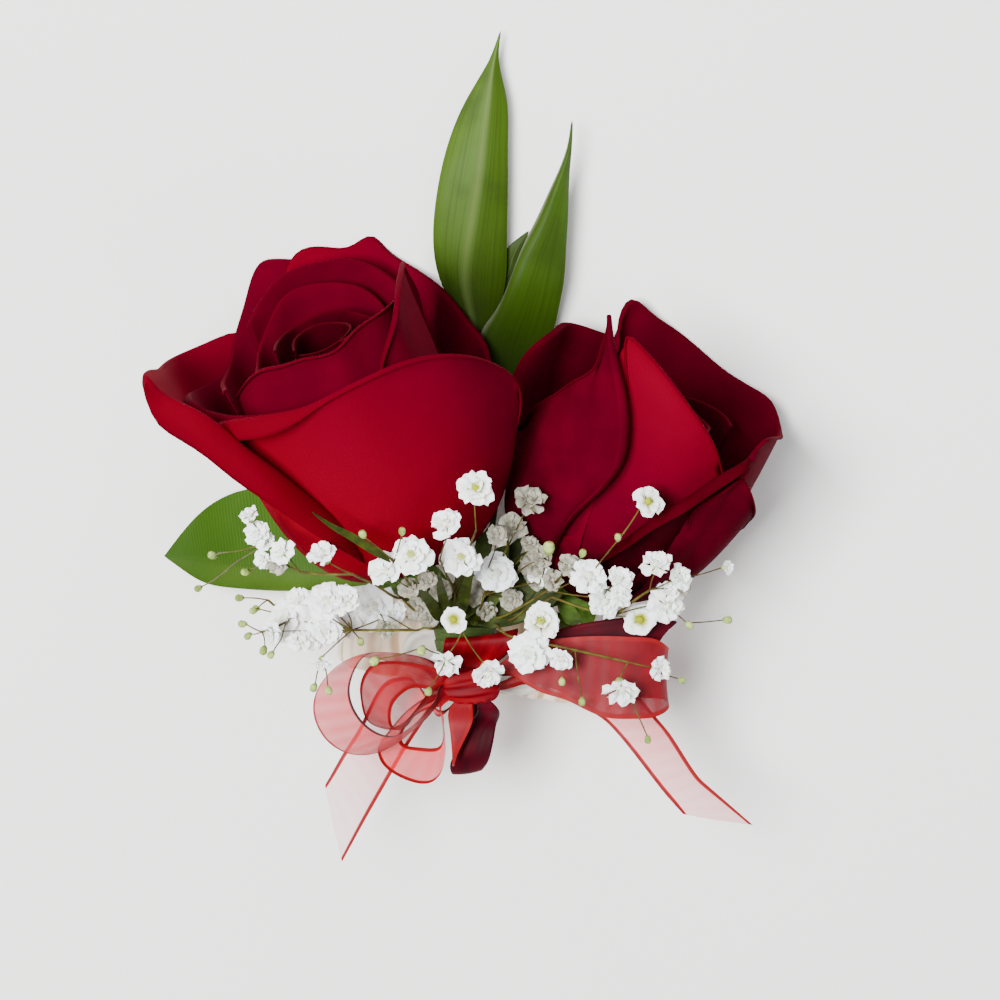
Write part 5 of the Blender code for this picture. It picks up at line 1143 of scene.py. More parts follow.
# A ribbon's rows give both of its edges, x y z and x y z, from the knot outward and back.
ribbons = {
    "bow_loop_left": [
        (-1.8, -3.8, 6.2, -1.8, 0.4, 9), (-5, -0.8, 6.4, -5.2, 2.2, 12), (-10, 0.6, 6, -10, 3, 15),
        (-16, 2, 5, -14.4, 3.2, 16.5), (-21, 1.4, 4.5, -17.2, 2.2, 17),
        (-24.4, -1.2, 4, -19, -0.4, 17), (-26.6, -4.4, 4, -20, -3.8, 17),
        (-27.4, -8, 4, -19.6, -7, 17), (-26.6, -11.6, 4, -18, -10, 17),
        (-24.4, -14.8, 4.5, -15.4, -12.4, 16.5), (-20.8, -17, 5, -12, -13.6, 16),
        (-16.4, -17.4, 5.5, -9, -12.6, 15), (-12, -16, 6, -6.4, -10.4, 13.5),
        (-7.6, -12.8, 6.4, -4.2, -7.8, 11.5), (-4, -9.4, 6.4, -2.6, -5.6, 9.8),
        (-2, -7, 6.4, -1.8, -3.4, 8.8),
    ],
    "bow_loop_left_inner": [
        (-1.8, -4.8, 6.6, -1.8, -0.6, 8.4), (-7, -4, 7, -7, 1, 11),
        (-9.6, -5.2, 7.5, -12.2, 1.4, 12.5), (-11.2, -7, 8, -16, 0.4, 13),
        (-11.8, -9, 8, -17.9, -3, 13), (-11.6, -11.2, 8, -17.8, -6.8, 13),
        (-10.8, -12.2, 8.4, -16.8, -10.2, 13), (-9.4, -12.2, 8.4, -14, -12, 12.5),
        (-7.6, -10.4, 8, -10.6, -11.6, 12), (-5.8, -8.2, 7.6, -7.6, -9.2, 11),
        (-3.8, -7, 7.1, -4.2, -4.6, 9.6), (-1.8, -5.8, 6.8, -2, -2.8, 8.6),
    ],
    "bow_loop_low": [
        (-1.8, -7.6, 4, -1.8, -5, 5.6), (-4, -8.2, 1.6, -4.8, -5.8, 4.4), (-7, -9.6, 0.5, -9, -8.8, 4),
        (-9.2, -12.4, 0, -12.4, -12.8, 3.8), (-9.6, -14.4, 0.5, -14.4, -16, 4.2),
        (-8.8, -15.4, 1, -13.8, -18.8, 5), (-6.8, -15.8, 1.5, -11.2, -21.2, 6),
        (-4.4, -16, 2, -7.6, -22.8, 7), (-2.4, -15.8, 2.5, -4, -23, 8),
        (-1.6, -14.8, 3, -1.8, -21, 8.5), (-1.4, -12.8, 3.5, -1, -16.8, 8.5),
        (-1.8, -9.6, 4.2, -1.2, -12, 8.4), (-2.4, -7, 5.6, -1.4, -9.6, 8.4),
        (-2.4, -5.4, 6.4, -1.8, -8, 8.4),
    ],
    "bow_loop_point": [
        (-0.2, -8.4, 8.6, 4.6, -8.4, 8.6), (-0.2, -11.4, 10, 4.4, -11, 10),
        (0.2, -14.8, 9.6, 2.8, -14.6, 9.6), (0.4, -17.8, 8.4, 1.4, -17.6, 8.4),
        (0.4, -19.6, 6.2, 0.8, -19.6, 6.2), (0.4, -17.8, 4.4, 1.4, -17.6, 4.4),
        (0.2, -14.8, 3.6, 2.8, -14.6, 3.6), (-0.2, -11.4, 3.8, 4, -11, 3.8),
        (-0.2, -8.8, 5.2, 4.2, -8.8, 5.2),
    ],
    "satin_loop_low": [
        (5.6, -8.4, 5.4, 9.6, -8.2, 5.4), (4, -10.8, 2, 9.4, -10.8, 2.2),
        (1.8, -14.4, 1, 8.8, -14, 1.4), (0.6, -17.6, 0.4, 8.2, -16.8, 1),
        (0, -19.8, -0.8, 7.4, -19, -0.4), (0.6, -21.2, -2.6, 6.2, -20.4, -2.4),
        (0.8, -19.4, -4.4, 7, -18.4, -4.2), (1.2, -15.4, -5, 7.8, -14.6, -4.8),
        (2, -11.2, -4.4, 8.2, -10.8, -4.4), (2.8, -7.8, -2.6, 7.6, -7.6, -2.6),
    ],
    "satin_loop_upper": [
        (-1, 1.8, 8.8, 10, 1.6, 8.6), (-1.4, 3.4, 11.2, 12.4, 4, 11), (-1.2, 5, 11.8, 13.4, 6.4, 11.5),
        (-0.8, 6, 10, 13.6, 7.8, 9.6), (-0.8, 5.2, 7.6, 13.2, 6.8, 7.2), (-0.8, 3.6, 6.6, 11.6, 4, 6.3),
        (-0.8, 1.8, 6.5, 10, 1.6, 6.3),
    ],
    "bow_loop_right": [
        (10.6, 1.4, 8.6, 10.6, -1.2, 8.6), (14, 3.6, 9.5, 13.6, -2.2, 9.5),
        (19, 5.4, 10.5, 18, -4.8, 10.5), (25, 6.2, 11, 23.6, -6.6, 11), (31, 6.4, 11, 30, -9.6, 11),
        (37, 6.2, 10.5, 36.4, -10.2, 10), (41.6, 5.6, 9, 41, -9.8, 8.6), (43.8, 4, 6, 43.8, -8, 6),
        (42.8, 4.6, 3, 42.8, -6.4, 3), (38, 5.6, 1.5, 38, -6, 1.5), (30, 5.6, 1.5, 30, -5.4, 1.5),
        (22, 3.2, 2, 22, -4.4, 2), (15, 1.2, 3.6, 15, -2.2, 3.6), (10.6, 0.4, 4.6, 10.6, -1.6, 4.6),
    ],
    "satin_loop_right": [
        (10.6, 0, 7, 10.6, -1.2, 7), (14, 3.6, 7.2, 14, 0, 7.2), (18, 6.4, 7.6, 18, 1.6, 7.6),
        (26, 8.8, 8, 26.4, 0.8, 8), (34, 10, 8, 34.4, 0.8, 8), (41, 10.2, 7.4, 39, 2, 7.4),
        (45.4, 9.2, 6.2, 40.8, 3.6, 6.2), (41, 9.6, 5, 38.8, 2.6, 5), (34, 9.2, 4.4, 34, 1.6, 4.4),
        (26, 7.6, 4.6, 26, 1.6, 4.6), (18, 5.2, 5.2, 18, 2.4, 5.2), (14, 2.8, 5.5, 14, 0.4, 5.5),
        (10.6, 0, 5.8, 10.6, -1, 5.8),
    ],
    "bow_tail_left": [
        (-2, -8.4, 2.2, -2, -9.8, 0.6), (-7.2, -2.4, -2.2, -3.6, -8.2, -2),
        (-10, -1.8, -2.4, -4.8, -10, -2), (-13.4, -3.2, -2, -7.4, -14, -2.4),
        (-17.6, -10.8, -3.4, -10.8, -19.6, -3.4), (-21, -16.4, -4.4, -14, -25.2, -4.4),
        (-23.4, -20.6, -5.4, -17.2, -30.8, -5.4), (-25, -23.4, -6.4, -21.6, -38.8, -6.6),
    ],
    "bow_tail_right": [
        (10.4, -4.4, 3.6, 10.6, -2.6, 4), (15.6, -3.2, 0.2, 16.8, 0.8, 0),
        (23, -5.2, -0.8, 24.4, 1.2, -0.8), (28.4, -8.8, -1, 34.4, -2.4, -1),
        (31, -10.6, -0.6, 40.4, -8.8, -0.8), (34.4, -14.2, -0.4, 43.6, -12.6, -0.4),
        (38.2, -19, -0.8, 46.4, -16.8, -0.8), (42.2, -24.2, -1.6, 49.6, -21.6, -1.6),
        (44.6, -27, -2.2, 52.8, -24.6, -2.2), (46.6, -29.2, -3, 60.6, -31.4, -3.4),
    ],
}

knotPiece()
for ribbonName, ribbonRows in ribbons.items():
    ribbonPiece(ribbonName, ribbonRows)
print("bow made")

# Depths that sprays keep in front of: the stems all over, the bow below bowTop, and its left loop
# further left and down. The margin is kept round the roses, which are found in steps of depth.
groundMake = {"stems": 5, "bow": 13, "bowTop": 9, "loop": 18.5, "loopRight": -1, "loopTop": 3.5,
              "margin": 2.5, "nothing": -99, "depths": (60, -30, -0.5)}


def roseDepth(rose, x, y):
    # Depth of the near side of a rose's outline at x, y; very far where the rose isn't there
    base, axis = roseAxes(rose)[:2]
    depths = np.arange(*groundMake["depths"])
    points = seen(x, y, depths) - base
    height = points @ axis
    reach = np.linalg.norm(points - height[:, None] * axis, axis=1)
    part = np.clip(1 - height / rose["round"], 0, 1)
    inside = (reach < rose["radius"] * np.sqrt(1 - part ** 2) + groundMake["margin"])
    inside &= (height > -groundMake["margin"]) & (height < rose["top"])
    return depths[np.argmax(inside)] if inside.any() else groundMake["nothing"]


def ground(x, y):
    # Depth of what lies under the small flowers
    make = groundMake
    bow = make["bow"] if y < make["bowTop"] else make["nothing"]
    loop = make["loop"] if x < make["loopRight"] and y < make["loopTop"] else make["nothing"]
    return max(roseDepth(leftRose, x, y), roseDepth(rightRose, x, y), bow, loop, make["stems"])


# Stems: radius, a fork's and a flower's share of it and how thin the ends are; the height kept over
# what lies beneath; the length under which a stem has fewer points; the rise from the binding before
# it turns down or goes up; a flower's lean to the eye; how far a stem goes into it and may stray.
twigMake = {"radius": 0.26, "thick": 1.1, "thin": 0.6, "taper": 0.8, "sides": 6, "rings": 3, "clear": 1.3,
            "short": 14, "points": (3, 5), "riseDown": 0.7, "riseUp": 1.8, "lean": 0.8, "into": 0.4,
            "stray": 0.3}
# Which of a sprig's finishes each part of it has
sprigParts = {"petals": 0, "shadedPetals": 1, "stems": 2, "cups": 3, "blades": 4}


def twigPath(start, end):
    # From one point to the other, held clear of what lies beneath
    few, many = twigMake["points"]
    count = few if np.linalg.norm(end - start) < twigMake["short"] else many
    path = start + (end - start) * np.linspace(0, 1, count)[:, None]
    for point in path[1:-1]:
        scale = 1 - point[2] / flowerFrame["distance"]
        read = np.array(flowerFrame["eye"]) + (point[:2] - np.array(flowerFrame["eye"])) / scale
        point[2] = max(point[2], ground(*read) + twigMake["clear"])
    return list(path)


bladeMake = {"rows": 24, "columns": 5, "thickness": 0.3, "fold": 0.3, "start": 0.12}


def grassBlade(shape, path, width):
    # A narrow leaf that grows from a stem, folded along its middle: its half width is sin(pi w)^0.8
    # for w from start to 1 along it as u^0.8
    make = bladeMake
    along = unit(np.gradient(path, axis=0))
    side = unit(np.cross(along, [0, 0, 1.0]))
    u = np.linspace(0, 1, len(path))[:, None]
    part = np.clip(make["start"] + (1 - make["start"]) * u ** 0.8, 0, 1)
    half = width / 2 * np.sin(math.pi * part) ** 0.8
    t = np.linspace(-1, 1, make["columns"])
    folded = (make["fold"] * np.abs(t))[None, :, None] * [0, 0, 1]
    blade = path[:, None] + (half * t)[..., None] * side[:, None] + folded
    shape.lens(blade, make["thickness"], look=sprigParts["blades"])


# Whorls of a small double flower from outside in: petals, length, tilt in degrees, half angle, turn.
# Cups and eyes have heights up the flower's axis and radii. Lengths are parts of the flower's size.
floretMake = {
    "full": [(7, 1, 2, 30, 0), (6, 0.9, 26, 34, 0.5), (5, 0.7, 50, 38, 0.2), (4, 0.45, 70, 46, 0.8)],
    "half": [(6, 1, 22, 34, 0), (5, 0.88, 46, 38, 0.6), (4, 0.62, 66, 46, 0.2)],
    "open": [(5, 1, 10, 41, 0), (5, 0.88, 26, 42, 0.6)],
    "bud": [(4, 0.5, 80, 50, 0)],
    "rows": (0.02, 0.42, 0.8, 1.0), "columns": 6, "claw": 1.6, "round": 0.12, "ruffle": 0.12, "droop": 0.12,
    "ragged": 0.18, "lengths": (0.86, 1.1), "tilts": 12, "turns": 0.12, "sink": 0.12, "thickness": 0.12,
    "sides": 8,
    "cup": [(-0.42, 0.02), (-0.4, 0.09), (-0.3, 0.15), (-0.2, 0.17), (-0.14, 0.1), (-0.13, 0.02)],
    "budCup": [(-0.55, 0.02), (-0.5, 0.1), (-0.3, 0.23), (-0.05, 0.28), (0.12, 0.22), (0.2, 0.03)],
    "eye": [(-0.12, 0.02), (-0.06, 0.11), (0.03, 0.09), (0.07, 0.01)],
}


def floretPetals(facing, size, kind, core, chance):
    # Each petal widens from its claw to a ragged end: r (1 - t^2 r) is its outline, and it rises with
    # the tilt's sine, ruffled by r^2 sin(5 t) and drooping by the outline cubed. Its tone is the
    # core's times (1 - r)^1.5.
    make = floretMake
    helper = [0, 0, 1] if abs(facing[2]) < 0.8 else [0, 1, 0]
    first = unit(np.cross(facing, helper))
    second = np.cross(facing, first)
    r = np.array(make["rows"])[:, None]
    t = np.linspace(-1, 1, make["columns"])[None]
    spin = chance.uniform(0, 2 * math.pi)
    for petals, length, tilt, spread, turn in make[kind]:
        for number in range(petals):
            reach = length * size / 2 * chance.uniform(*make["lengths"])
            lift = math.radians(tilt + chance.uniform(-make["tilts"], make["tilts"]))
            ragged = chance.uniform(0, make["ragged"], make["columns"])
            heading = spin + turn + 2 * math.pi * number / petals
            heading = heading + chance.uniform(-make["turns"], make["turns"])
            angle = heading + t * math.radians(spread) * np.minimum(r * make["claw"], 1)
            outline = r * (1 - make["round"] * t ** 2 * r) * (1 - ragged * (r == 1))
            ruffle = make["ruffle"] * r ** 2 * np.sin(5 * t + 2 * number)
            rise = np.sin(lift) * outline + ruffle - make["droop"] * outline ** 3
            flat = np.cos(lift) * outline
            yield (reach * (flat * np.cos(angle)), reach * (flat * np.sin(angle)), reach * rise,
                   first, second, (1 - r) ** 1.5 * core + 0 * t)


def addFloret(shape, centre, facing, kind, size, core, chance):
    # The petals, a green cup behind them and, where the flower is open, an eye. A core below 0 is a
    # flower in the shade, which has no green middle.
    make = floretMake
    look = sprigParts["shadedPetals" if core < 0 else "petals"]
    core = max(core, 0)
    for x, y, z, first, second, tone in floretPetals(facing, size, kind, core, chance):
        z = z - make["sink"] * size
        grid = centre + x[..., None] * first + y[..., None] * second + z[..., None] * facing
        shape.lens(grid, make["thickness"], tone, look)
    cup = make["budCup" if kind == "bud" else "cup"]
    shape.turned(centre, facing, np.array(cup) * size, make["sides"], look=sprigParts["cups"])
    if kind != "bud":
        shape.turned(centre, facing, np.array(make["eye"]) * size, make["sides"], core, look)


# What a spray's point is where its row is shorter
plainPoint = (-1, 0, 0, 0, "fork", 0, 0, 0, 0.3)


def sprayPiece(name, foot, items, chance):
    # One spray: thin stems from the binding, forked, with its flowers and buds
    low = stemFoot(foot)
    shape, ends = Shape(), []
    for item in items:
        parent, x, y, lift, kind, size, leanX, leanY, core = item + plainPoint[len(item):]
        point = seen(x, y, ground(x, y) + lift)
        facing = unit(np.array([leanX, leanY, twigMake["lean"]]))
        ends.append(point if kind == "fork" else point - facing * size * twigMake["into"])
        start = low if parent < 0 else ends[parent]
        path = twigPath(start, ends[-1]) if lift > 0 else list(np.linspace(start, ends[-1], 3))
        if parent < 0:
            rise = twigMake["riseDown"] if point[1] < bindingMake["top"] else twigMake["riseUp"]
            path.insert(1, low + np.array([0, rise, 0]))
        stray = twigMake["stray"]
        path[1:-1] = [place + chance.uniform(-stray, stray, 3) for place in path[1:-1]]
        if kind == "blade":
            grassBlade(shape, spline(path, bladeMake["rows"]), size)
            continue
        count = twigMake["rings"] * len(path)
        radius = twigMake["radius"] * twigMake["thick" if kind == "fork" else "thin"]
        radii = np.linspace(1, twigMake["taper"], count) * radius
        shape.tube(spline(path, count), radii, twigMake["sides"], look=sprigParts["stems"])
        if kind != "fork":
            addFloret(shape, point, facing, kind, size, core, chance)
    finishes = [flowerWhite, flowerShade, twigGreen, budGreen, stemGreen]
    shape.build(name + "_sprig", finishes, "small_flower", [name])


def paintFloret(name, petal, centre, edge):
    # Thin white petals, yellow green where they meet, with faint veins
    finish = Finish(name, **{"Subsurface Weight": 0.15, "Subsurface Scale": 0.001, "Specular IOR Level": 0.2})
    cloud = finish.noise(finish.place(), 900, 2)
    body = finish.mix(cloud.over(0.35, 0.7), tint(*petal), tint(*edge))
    finish.set(Base_Color=finish.mix(finish.attribute("tone").over(0.1, 0.6), body, tint(*centre)),
               Roughness=0.6 + 0.15 * cloud)
    veins = finish.bands(finish.surface((1, 7, 1)), 1, 0.6)
    finish.bump(veins * 0.5 + cloud, 0.08, 0.6)
    return finish


flowerWhite = paintFloret("flowerWhite", (255, 255, 254), (150, 158, 12), (246, 247, 243))
flowerShade = paintFloret("flowerShade", (166, 162, 148), (110, 112, 50), (130, 128, 110))

# A spray starts on top of the stem binding (x, z). Its points are: the point it grows from, or -1
# for the binding, x, y, height over what lies beneath, and for all but a fork the kind, size and way
# it faces (x, y). The last number, if any, is how green the flower's middle is, or -1 in the shade.
sprays = {
    "spray_left_low": ((-1.9, 2.5), [
        (-1, -7.6, 7.6, 3), (0, -19.6, 7.6, 3), (1, -33.4, 9.6, 3.5, "full", 10, -0.3, 0),
        (1, -24.8, 13.6, 5, "full", 9.2, -0.1, 0.3), (1, -27.6, 5.6, 3, "full", 6.8, -0.3, -0.5),
        (0, -15.2, 12.4, 3.5, "full", 10, 0, 0.1), (1, -25.6, 0.8, 3, "half", 4.8, 0, -0.8),
        (2, -36.4, 13.6, 3), (7, -42.4, 14, 4, "bud", 2.8, -1, 0),
        (7, -39.6, 11.4, 4, "bud", 2.6, -1, -0.2), (2, -37.6, 7.2, 3),
        (10, -41.8, 8.8, 3, "bud", 2.8, -1, 0), (10, -40.6, 6.2, 3, "bud", 2.6, -0.8, -0.8),
        (10, -37.4, 3.2, 3, "bud", 3, -0.3, -1), (6, -27.4, -4.2, 3, "bud", 2.8, -0.5, -1),
        (6, -24.2, -4.8, 3, "bud", 2.8, 0.3, -1), (1, -17.8, 5, 3, "bud", 2.6, 0.3, -1),
        (1, -25, 7.4, 3.5, "full", 8, -0.1, -0.2), (1, -30.6, 5, 2.6, "half", 6.4, -0.5, -0.4),
        (1, -20.4, 9, 3, "full", 7.4, 0, -0.1), (1, -36, 6.8, 2.6, "half", 6, -0.6, -0.2),
        (1, -20.8, 14, 3, "full", 7, 0, 0.4), (1, -11.4, 11, 3, "half", 6.4, 0.2, 0.1),
        (1, -30.4, 14, 3, "half", 6, -0.3, 0.4), (5, -12.6, 8, 2.4, "half", 5.4, 0.2, -0.4, -1),
        (2, -39, 12, 2.4, "bud", 2.4, -1, 0.3), (2, -36, 2.4, 2.6, "bud", 2.6, -0.8, -1),
    ]),
    "spray_left": ((-2.7, 0.6), [
        (-1, -9.6, 14, 4), (0, -19.6, 18.8, 4), (1, -25.8, 23, 6, "half", 7.2, -0.5, 0.7),
        (1, -30, 19.2, 5), (3, -33.8, 23.4, 7, "half", 6.4, -0.4, 0.3),
        (3, -37.6, 21.6, 5, "half", 4.8, -0.6, -0.2), (4, -39, 27, 7, "full", 6.4, -0.4, 0.3),
        (6, -40.2, 30.6, 7, "half", 4.8, -0.3, 0.8), (4, -37, 25.4, 5, "half", 5.6, -0.3, 0.1),
        (3, -34.6, 20.6, 5, "half", 5.4, -0.2, -0.3, -1), (5, -41.2, 19.2, 5, "bud", 2.8, -1, 0),
        (8, -47.8, 22.6, 6, "bud", 3, -1, 0.3), (8, -50.6, 15.8, 6, "bud", 2.6, -1, -0.5),
    ]),
    "spray_left_up": ((-0.4, 3.8), [
        (-1, -5, 13.6, 4), (0, -13.2, 19.4, 4, "half", 8.4, -0.5, 0.3),
        (0, -7.8, 22.8, 4, "full", 8.8, -0.1, 0.2, 0.5), (0, -11.2, 21.2, 3),
        (3, -17.6, 27, 4, "bud", 2.8, -0.4, 0.8), (3, -9.6, 27.6, 3, "bud", 2.6, 0, 1),
        (3, -28.2, 31.6, 5, "blade", 1.6, -1, 0.6), (0, -8.2, 16, 2.4, "half", 5.6, -0.2, 0.2, -1),
        (0, -4.6, 17.4, 2.4, "half", 5.2, 0, 0.4, -1), (0, -1.8, 15.6, 2.4, "full", 5.4, 0.1, 0.1, -1),
        (0, -6.6, 11.8, 2.4, "full", 5.6, -0.1, -0.1, -1), (0, -4, 9.6, 2, "half", 5, 0, -0.4, -1),
        (-1, -7.6, 18.6, 1, "blade", 2.4, 0, 1), (-1, -2.4, 21, 1, "blade", 2.2, 0, 1),
    ]),
    "spray_up": ((1.3, 3.2), [
        (-1, 1, 15.2, 4), (0, 2.2, 22.2, 4.5, "full", 8.8, 0, 0.1, 0.5), (0, -2, 21.6, 3),
        (2, -1, 29.2, 4, "half", 8, -0.3, 0.6), (0, 5.2, 27.6, 3),
        (4, 5.2, 36.2, 4, "full", 8, 0.1, 0.2, 0.8), (0, 4.8, 14.2, 2.4, "half", 5.4, 0.1, 0, -1),
        (0, 7.6, 11.4, 2, "half", 5, 0.3, -0.3, -1), (0, 6.4, 16.8, 2.4, "full", 5.2, 0.2, 0.3, -1),
        (-1, 5.4, 24, 1, "blade", 2.4, 0, 1), (-1, 9.6, 21, 1, "blade", 2.4, 0, 1),
        # The wide blades set deep here fill dark gaps between the roses: foliage in shade, with partly
        # painted shade in their dark green.
        (-1, 8.4, 31, -30, "blade", 6, 0, 1), (-1, 4.2, 18.6, -6, "blade", 5, 0, 1),
        (-1, 8.6, 19, -8, "blade", 5, 0, 1),
    ]),
    "spray_up_right": ((3.6, 2.6), [
        (-1, 6.8, 14.6, 5), (0, 9.4, 19, 13, "full", 9.2, 0.1, 0), (0, 11.2, 23.6, 12),
        (2, 12.4, 28.4, 10, "half", 7.6, 0.1, 0.4, -1), (2, 16.2, 33.6, 6, "half", 8, 0.3, 0.6, -1),
        (0, 12.2, 13.8, 2.4, "full", 5.4, 0.1, 0, -1), (0, 17.6, 18.2, 3, "full", 6, 0.2, 0.2, -1),
        (0, 18.2, 22.6, 3, "half", 6, 0.2, 0.4, -1), (0, 16, 25, 3, "half", 5, 0, 0.6, -1),
        # The wide blades set deep here fill dark gaps between the roses: foliage in shade, with partly
        # painted shade in their dark green.
        (-1, 14.4, 20, 1, "blade", 2.4, 0, 1), (-1, 11.6, 28.6, -18, "blade", 7, 0, 1),
        (-1, 15.4, 25.6, -8, "blade", 7, 0, 1), (-1, 20, 19.4, -8, "blade", 7, 0, 1),
        (-1, 14.8, 29, -14, "blade", 7, 0, 1), (-1, 19.4, 23.4, -11, "blade", 8, 0, 1),
        (-1, 23, 17.4, -9, "blade", 7, 0, 1), (-1, 14, 20, -8, "blade", 6, 0, 1),
        (0, 9.4, 26.6, 1, "half", 5.4, 0.1, 0.3, -1), (0, 16.8, 21, 1, "full", 6, 0.2, 0.2, -1),
        (0, 20.6, 17.6, 1, "half", 5.4, 0.3, 0, -1),
    ]),
    "spray_right_up": ((5, 3.2), [
        (-1, 12.4, 11.2, 5), (0, 19.6, 15.6, 4), (1, 18, 18.6, 4, "half", 6, -0.2, 0.6),
        (2, 19.8, 24.4, 4, "bud", 4.4, 0, 1), (1, 26.6, 23.2, 4, "bud", 2.8, 0.2, 0.8),
        (1, 28, 18.6, 5, "full", 8.4, 0.2, 0.3), (1, 31.2, 13.2, 5, "full", 8, 0.3, -0.2),
        (6, 34, 18, 4, "half", 6.8, 0.3, 0.4), (5, 33.6, 26.4, 3.5, "bud", 2.6, 0, 1),
        (8, 39.8, 33.4, 4.5, "open", 7, 0.4, 0.2, 0.7), (5, 34.4, 14.6, 4, "half", 6, 0.3, 0, 0.1),
        (1, 24, 20.4, 3, "half", 6, 0.1, 0.3, -1), (-1, 20.6, 12, 1, "blade", 2.2, 0.6, 0.8),
    ]),
    "spray_right": ((8.7, 0.6), [
        (-1, 20.4, 14.2, 6), (0, 32.4, 10.4, 9), (1, 38, 9.6, 7.5, "open", 7.2, -0.1, -0.1, 1),
        (1, 43.6, 12.4, 7, "full", 8.8, 0.3, -0.1), (1, 40, 15.6, 5),
        (4, 41.4, 21, 5, "half", 7.6, 0.1, 0.6), (4, 46.2, 18.2, 5, "half", 6.4, 0.6, 0.2),
        (6, 55.6, 20.2, 5, "half", 3.6, 1, 0.1), (3, 48, 8.4, 5, "bud", 2.8, 0.6, -0.6),
        (8, 55.8, 9.6, 5, "bud", 3, 1, 0), (4, 46.6, 16.2, 4, "half", 5, 0.6, 0.3, -1),
        (3, 43.8, 15.4, 4, "half", 5.6, 0.2, 0.2),
    ]),
    "spray_right_low": ((8.2, 2), [
        (-1, 15.6, 5.4, 3), (0, 18.2, 9.4, 13.5, "full", 8.4, 0, 0.1, 1),
        (0, 15.6, 2.6, 4, "full", 9.2, -0.1, -0.2), (0, 25, 3.6, 3),
        (3, 22.2, 1.6, 4, "half", 6.4, -0.2, -0.5), (4, 22.4, -3, 3, "bud", 2.6, 0, -1),
        (3, 26.4, -7, 3, "bud", 2.8, 0, -1), (3, 35.6, 1.2, 3),
        (7, 34.2, -4.8, 4, "half", 8.4, 0.1, -0.8), (7, 42.2, -0.2, 4, "half", 6, 0.6, -0.1),
        (9, 46.6, -2.6, 3, "bud", 2.4, 0.8, -0.5), (8, 39.6, -14.6, 3, "bud", 2.6, 0.1, -1),
    ]),
    "spray_front": ((3.2, 4.5), [
        (-1, 2.4, 7.4, 5), (0, 0.6, 9.6, 14, "open", 6.4, -0.2, -0.1, 1),
        (0, -0.8, 0.8, 4, "half", 7.2, -0.1, -0.6), (0, 7.6, -1.4, 4, "half", 8.4, 0.2, -0.6),
        (2, -5.8, 3.2, 5, "bud", 3.4, -0.3, -0.8), (4, -15.4, 1.2, 3, "bud", 3.4, -0.8, -0.5),
        (2, -4.4, -5, 3, "bud", 2.8, -0.3, -1),
    ]),
}


wristletMake = {
    "centre": (2, -2.2), "turn": math.radians(-9), "halfWidth": 27, "height": 18, "band": 13,
    "thickness": 2.4, "sections": 480, "sides": 40, "corner": 0.55, "lowest": 0.02, "headroom": 0.1,
    "puff": 1.2, "puffs": 12, "puffPower": 0.7, "waist": 0.8, "flatFrom": 0.9,
    "pleats": 37, "pleat": 0.38, "pleatFrom": (0.2, 0.9), "flatPleat": 0.35, "edgeWave": 0.02,
    "light": (246, 234, 212), "dark": (232, 212, 182), "thread": (222, 204, 178), "gatherShade": (190, 160, 124),
}


def stadium(s):
    # Place and outward direction on the wristlet's inner line: two straights and two half circles
    make = wristletMake
    radius = make["height"] / 2 - make["thickness"]
    straight = 2 * (make["halfWidth"] - make["height"] / 2)
    arc = math.pi * radius
    way = s * (2 * straight + 2 * arc)
    ends = np.cumsum([straight / 2, arc, straight, arc, straight / 2])
    leg = np.minimum(np.searchsorted(ends, way, "left"), 4)
    past = way - np.append(0, ends)[leg]
    middle = make["height"] / 2
    turn = np.select([leg == 1, leg == 3], [past / radius - math.pi / 2, past / radius + math.pi / 2], 0)
    curved, low, top = (leg == 1) | (leg == 3), (leg == 0) | (leg == 4), leg == 2
    outX = np.where(curved, np.cos(turn), 0)
    outZ = np.select([top, low], [1, -1], np.sin(turn))
    x = np.select([leg == 0, leg == 1, leg == 2, leg == 3, leg == 4],
                  [past, straight / 2 + radius * outX, straight / 2 - past, radius * outX - straight / 2,
                   past - straight / 2])
    z = np.select([top, low], [middle + radius, middle - radius], middle + radius * outZ)
    return x, z, outX, outZ


def onWristlet(x, y, z):
    # The wristlet's own frame turned and moved to its place in the model, in mm
    make = wristletMake
    c, s = math.cos(make["turn"]), math.sin(make["turn"])
    return np.stack([x * c - y * s + make["centre"][0], x * s + y * c + make["centre"][1], z + 0 * x], -1)


def paintIvory():
    # Ivory satin over elastic: soft shine, threads along it, painted light and shade on its folds and
    # painted shade in the gathers
    parts = ("light", "dark", "thread", "gatherShade")
    light, dark, thread, gatherShade = (tint(*wristletMake[part]) for part in parts)
    finish = Finish("ivorySatin", **{"Sheen Weight": 0.25, "Sheen Roughness": 0.3, "Specular IOR Level": 0.5})
    folds = finish.noise(finish.surface((22, 2, 1)), 2, 3)
    threads = finish.bands(finish.surface((1, 60, 1)), 1, 0.1)
    body = finish.mix(threads * 0.1, finish.mix(folds.over(0.3, 0.7), light, dark), thread)
    finish.set(Base_Color=finish.mix(1 - finish.attribute("tone").over(0.05, 0.5), body, gatherShade),
               Roughness=0.34 + 0.15 * folds)
    finish.bump(folds + threads * 0.05, 0.35, 0.7)
    return finish


def squared(value):
    # A sine or cosine pushed out towards a rounded oblong's corner: its size to a power, sign kept
    return np.sign(value) * np.abs(value) ** wristletMake["corner"]


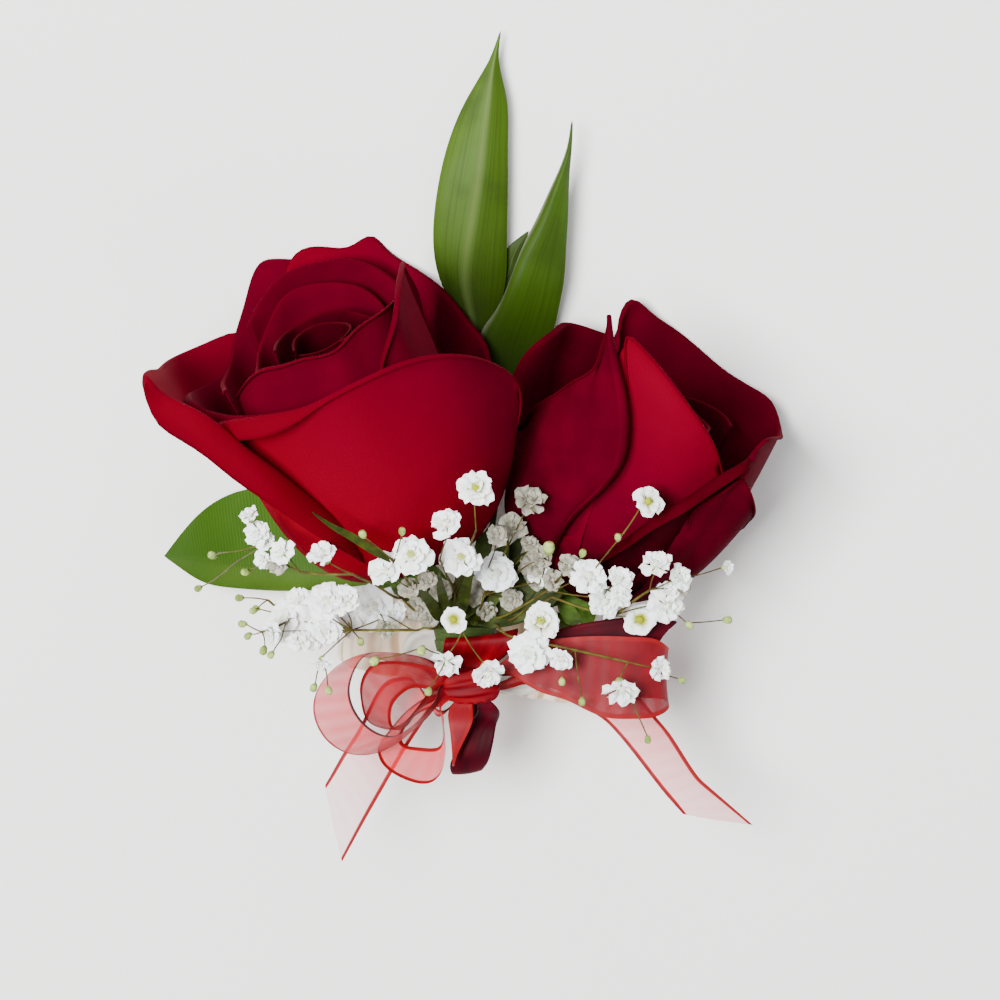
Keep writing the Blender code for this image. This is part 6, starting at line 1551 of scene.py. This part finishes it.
def wristletPiece():
    # Round the stadium the outer wall rises as |sin|^0.7 in each puff, with fine pleats on top that
    # fan out to both edges; the section is a rounded oblong. Flat is 1 on the straights, where the
    # puffs are pressed. The sines of whole turns in the pleats' phase and height make them uneven.
    make = wristletMake
    s = np.linspace(0, 1, make["sections"] + 1)
    x, z, outX, outZ = (value[:, None] for value in stadium(s))
    puff = np.abs(np.sin(math.pi * make["puffs"] * s))[:, None] ** make["puffPower"]
    flat = smooth(make["flatFrom"], 1, np.abs(outZ))
    outer = make["thickness"] + make["puff"] * puff * (1 - flat)
    half = make["band"] / 2 - make["waist"] * (1 - puff) * (1 - flat)
    turn = np.linspace(0, 2 * math.pi, make["sides"] + 1)[None]
    y = half * squared(np.cos(turn))
    depth = outer / 2 * (1 + squared(np.sin(turn)))
    around = 2 * math.pi * s[:, None]
    phase = make["pleats"] * around + 1.6 * np.sin(7 * around) + 1.1 * np.sin(3 * y / half + 4 * around)
    uneven = 0.65 + 0.35 * np.sin(11 * around + 1)
    pleat = make["pleat"] * np.sin(phase) * uneven * smooth(*make["pleatFrom"], depth / outer)
    depth = depth + pleat * (1 - make["flatPleat"] * flat)
    y = y * (1 + make["edgeWave"] * np.sin(phase * 0.5))
    height = np.clip(z + outZ * depth, make["lowest"], make["height"] + make["headroom"])
    shape = Shape()
    # The tone is painted shade: low in the pleats' hollows and between the puffs, where the darker gather
    # colour is mixed in.
    shape.grid(onWristlet(x + outX * depth, y, height),
               np.clip(0.5 + pleat / make["pleat"] * 0.5, 0, 1) * (0.35 + 0.65 * puff))
    shape.build("wristlet", [paintIvory()], "wristlet_satin", ["wristlet_band"], world=True)


# The profile gives how far a ring is inside the rim and its height: the middle of the underside,
# both rounded rims, and on top a shallow dish inside a border.
plateMake = {
    "long": 30, "wide": 11, "above": 0.3, "points": 72, "light": (226, 222, 210), "dark": (214, 210, 198),
    "profile": [(5.5, 0), (0.7, 0), (0.2, 0.2), (0, 0.7), (0, 1.8), (0.2, 2.3), (0.7, 2.5), (1.4, 2.5),
                (1.7, 2.2), (2.6, 2.2), (5.5, 2.2)],
}


def paintPlate():
    # Milky moulded plastic with a fine texture
    finish = Finish("milkyPlastic", **{"Specular IOR Level": 0.5})
    cloud = finish.noise(finish.place(), 300, 2)
    grain = finish.noise(finish.place(), 3500, 2)
    light, dark = tint(*plateMake["light"]), tint(*plateMake["dark"])
    finish.set(Base_Color=finish.mix(cloud.over(0.3, 0.7), light, dark), Roughness=0.36 + 0.14 * grain)
    finish.bump(grain, 0.05, 0.5)
    return finish


def platePiece():
    # An oblong with round ends: half circles of each ring's radius, moved apart along x
    make = plateMake
    inset, height = (np.array(values)[:, None] for values in zip(*make["profile"]))
    turn = np.linspace(0, 2 * math.pi, make["points"] + 1)[None]
    radius = make["wide"] / 2 - inset
    shift = (make["long"] - make["wide"]) / 2 * np.sign(np.cos(turn)) * (np.abs(np.cos(turn)) > 1e-6)
    base = wristletMake["height"] + make["above"]
    shape = Shape()
    shape.grid(onWristlet(shift + radius * np.cos(turn), radius * np.sin(turn), base + height))
    shape.build("wristlet_mount", [paintPlate()], "plate_plastic", ["wristlet_plate"], world=True)


chance = np.random.default_rng(7)
for sprayName, (sprayFoot, sprayPoints) in sprays.items():
    sprayPiece(sprayName, sprayFoot, sprayPoints, chance)
print("sprays made")

wristletPiece()
platePiece()
print("wristlet made")
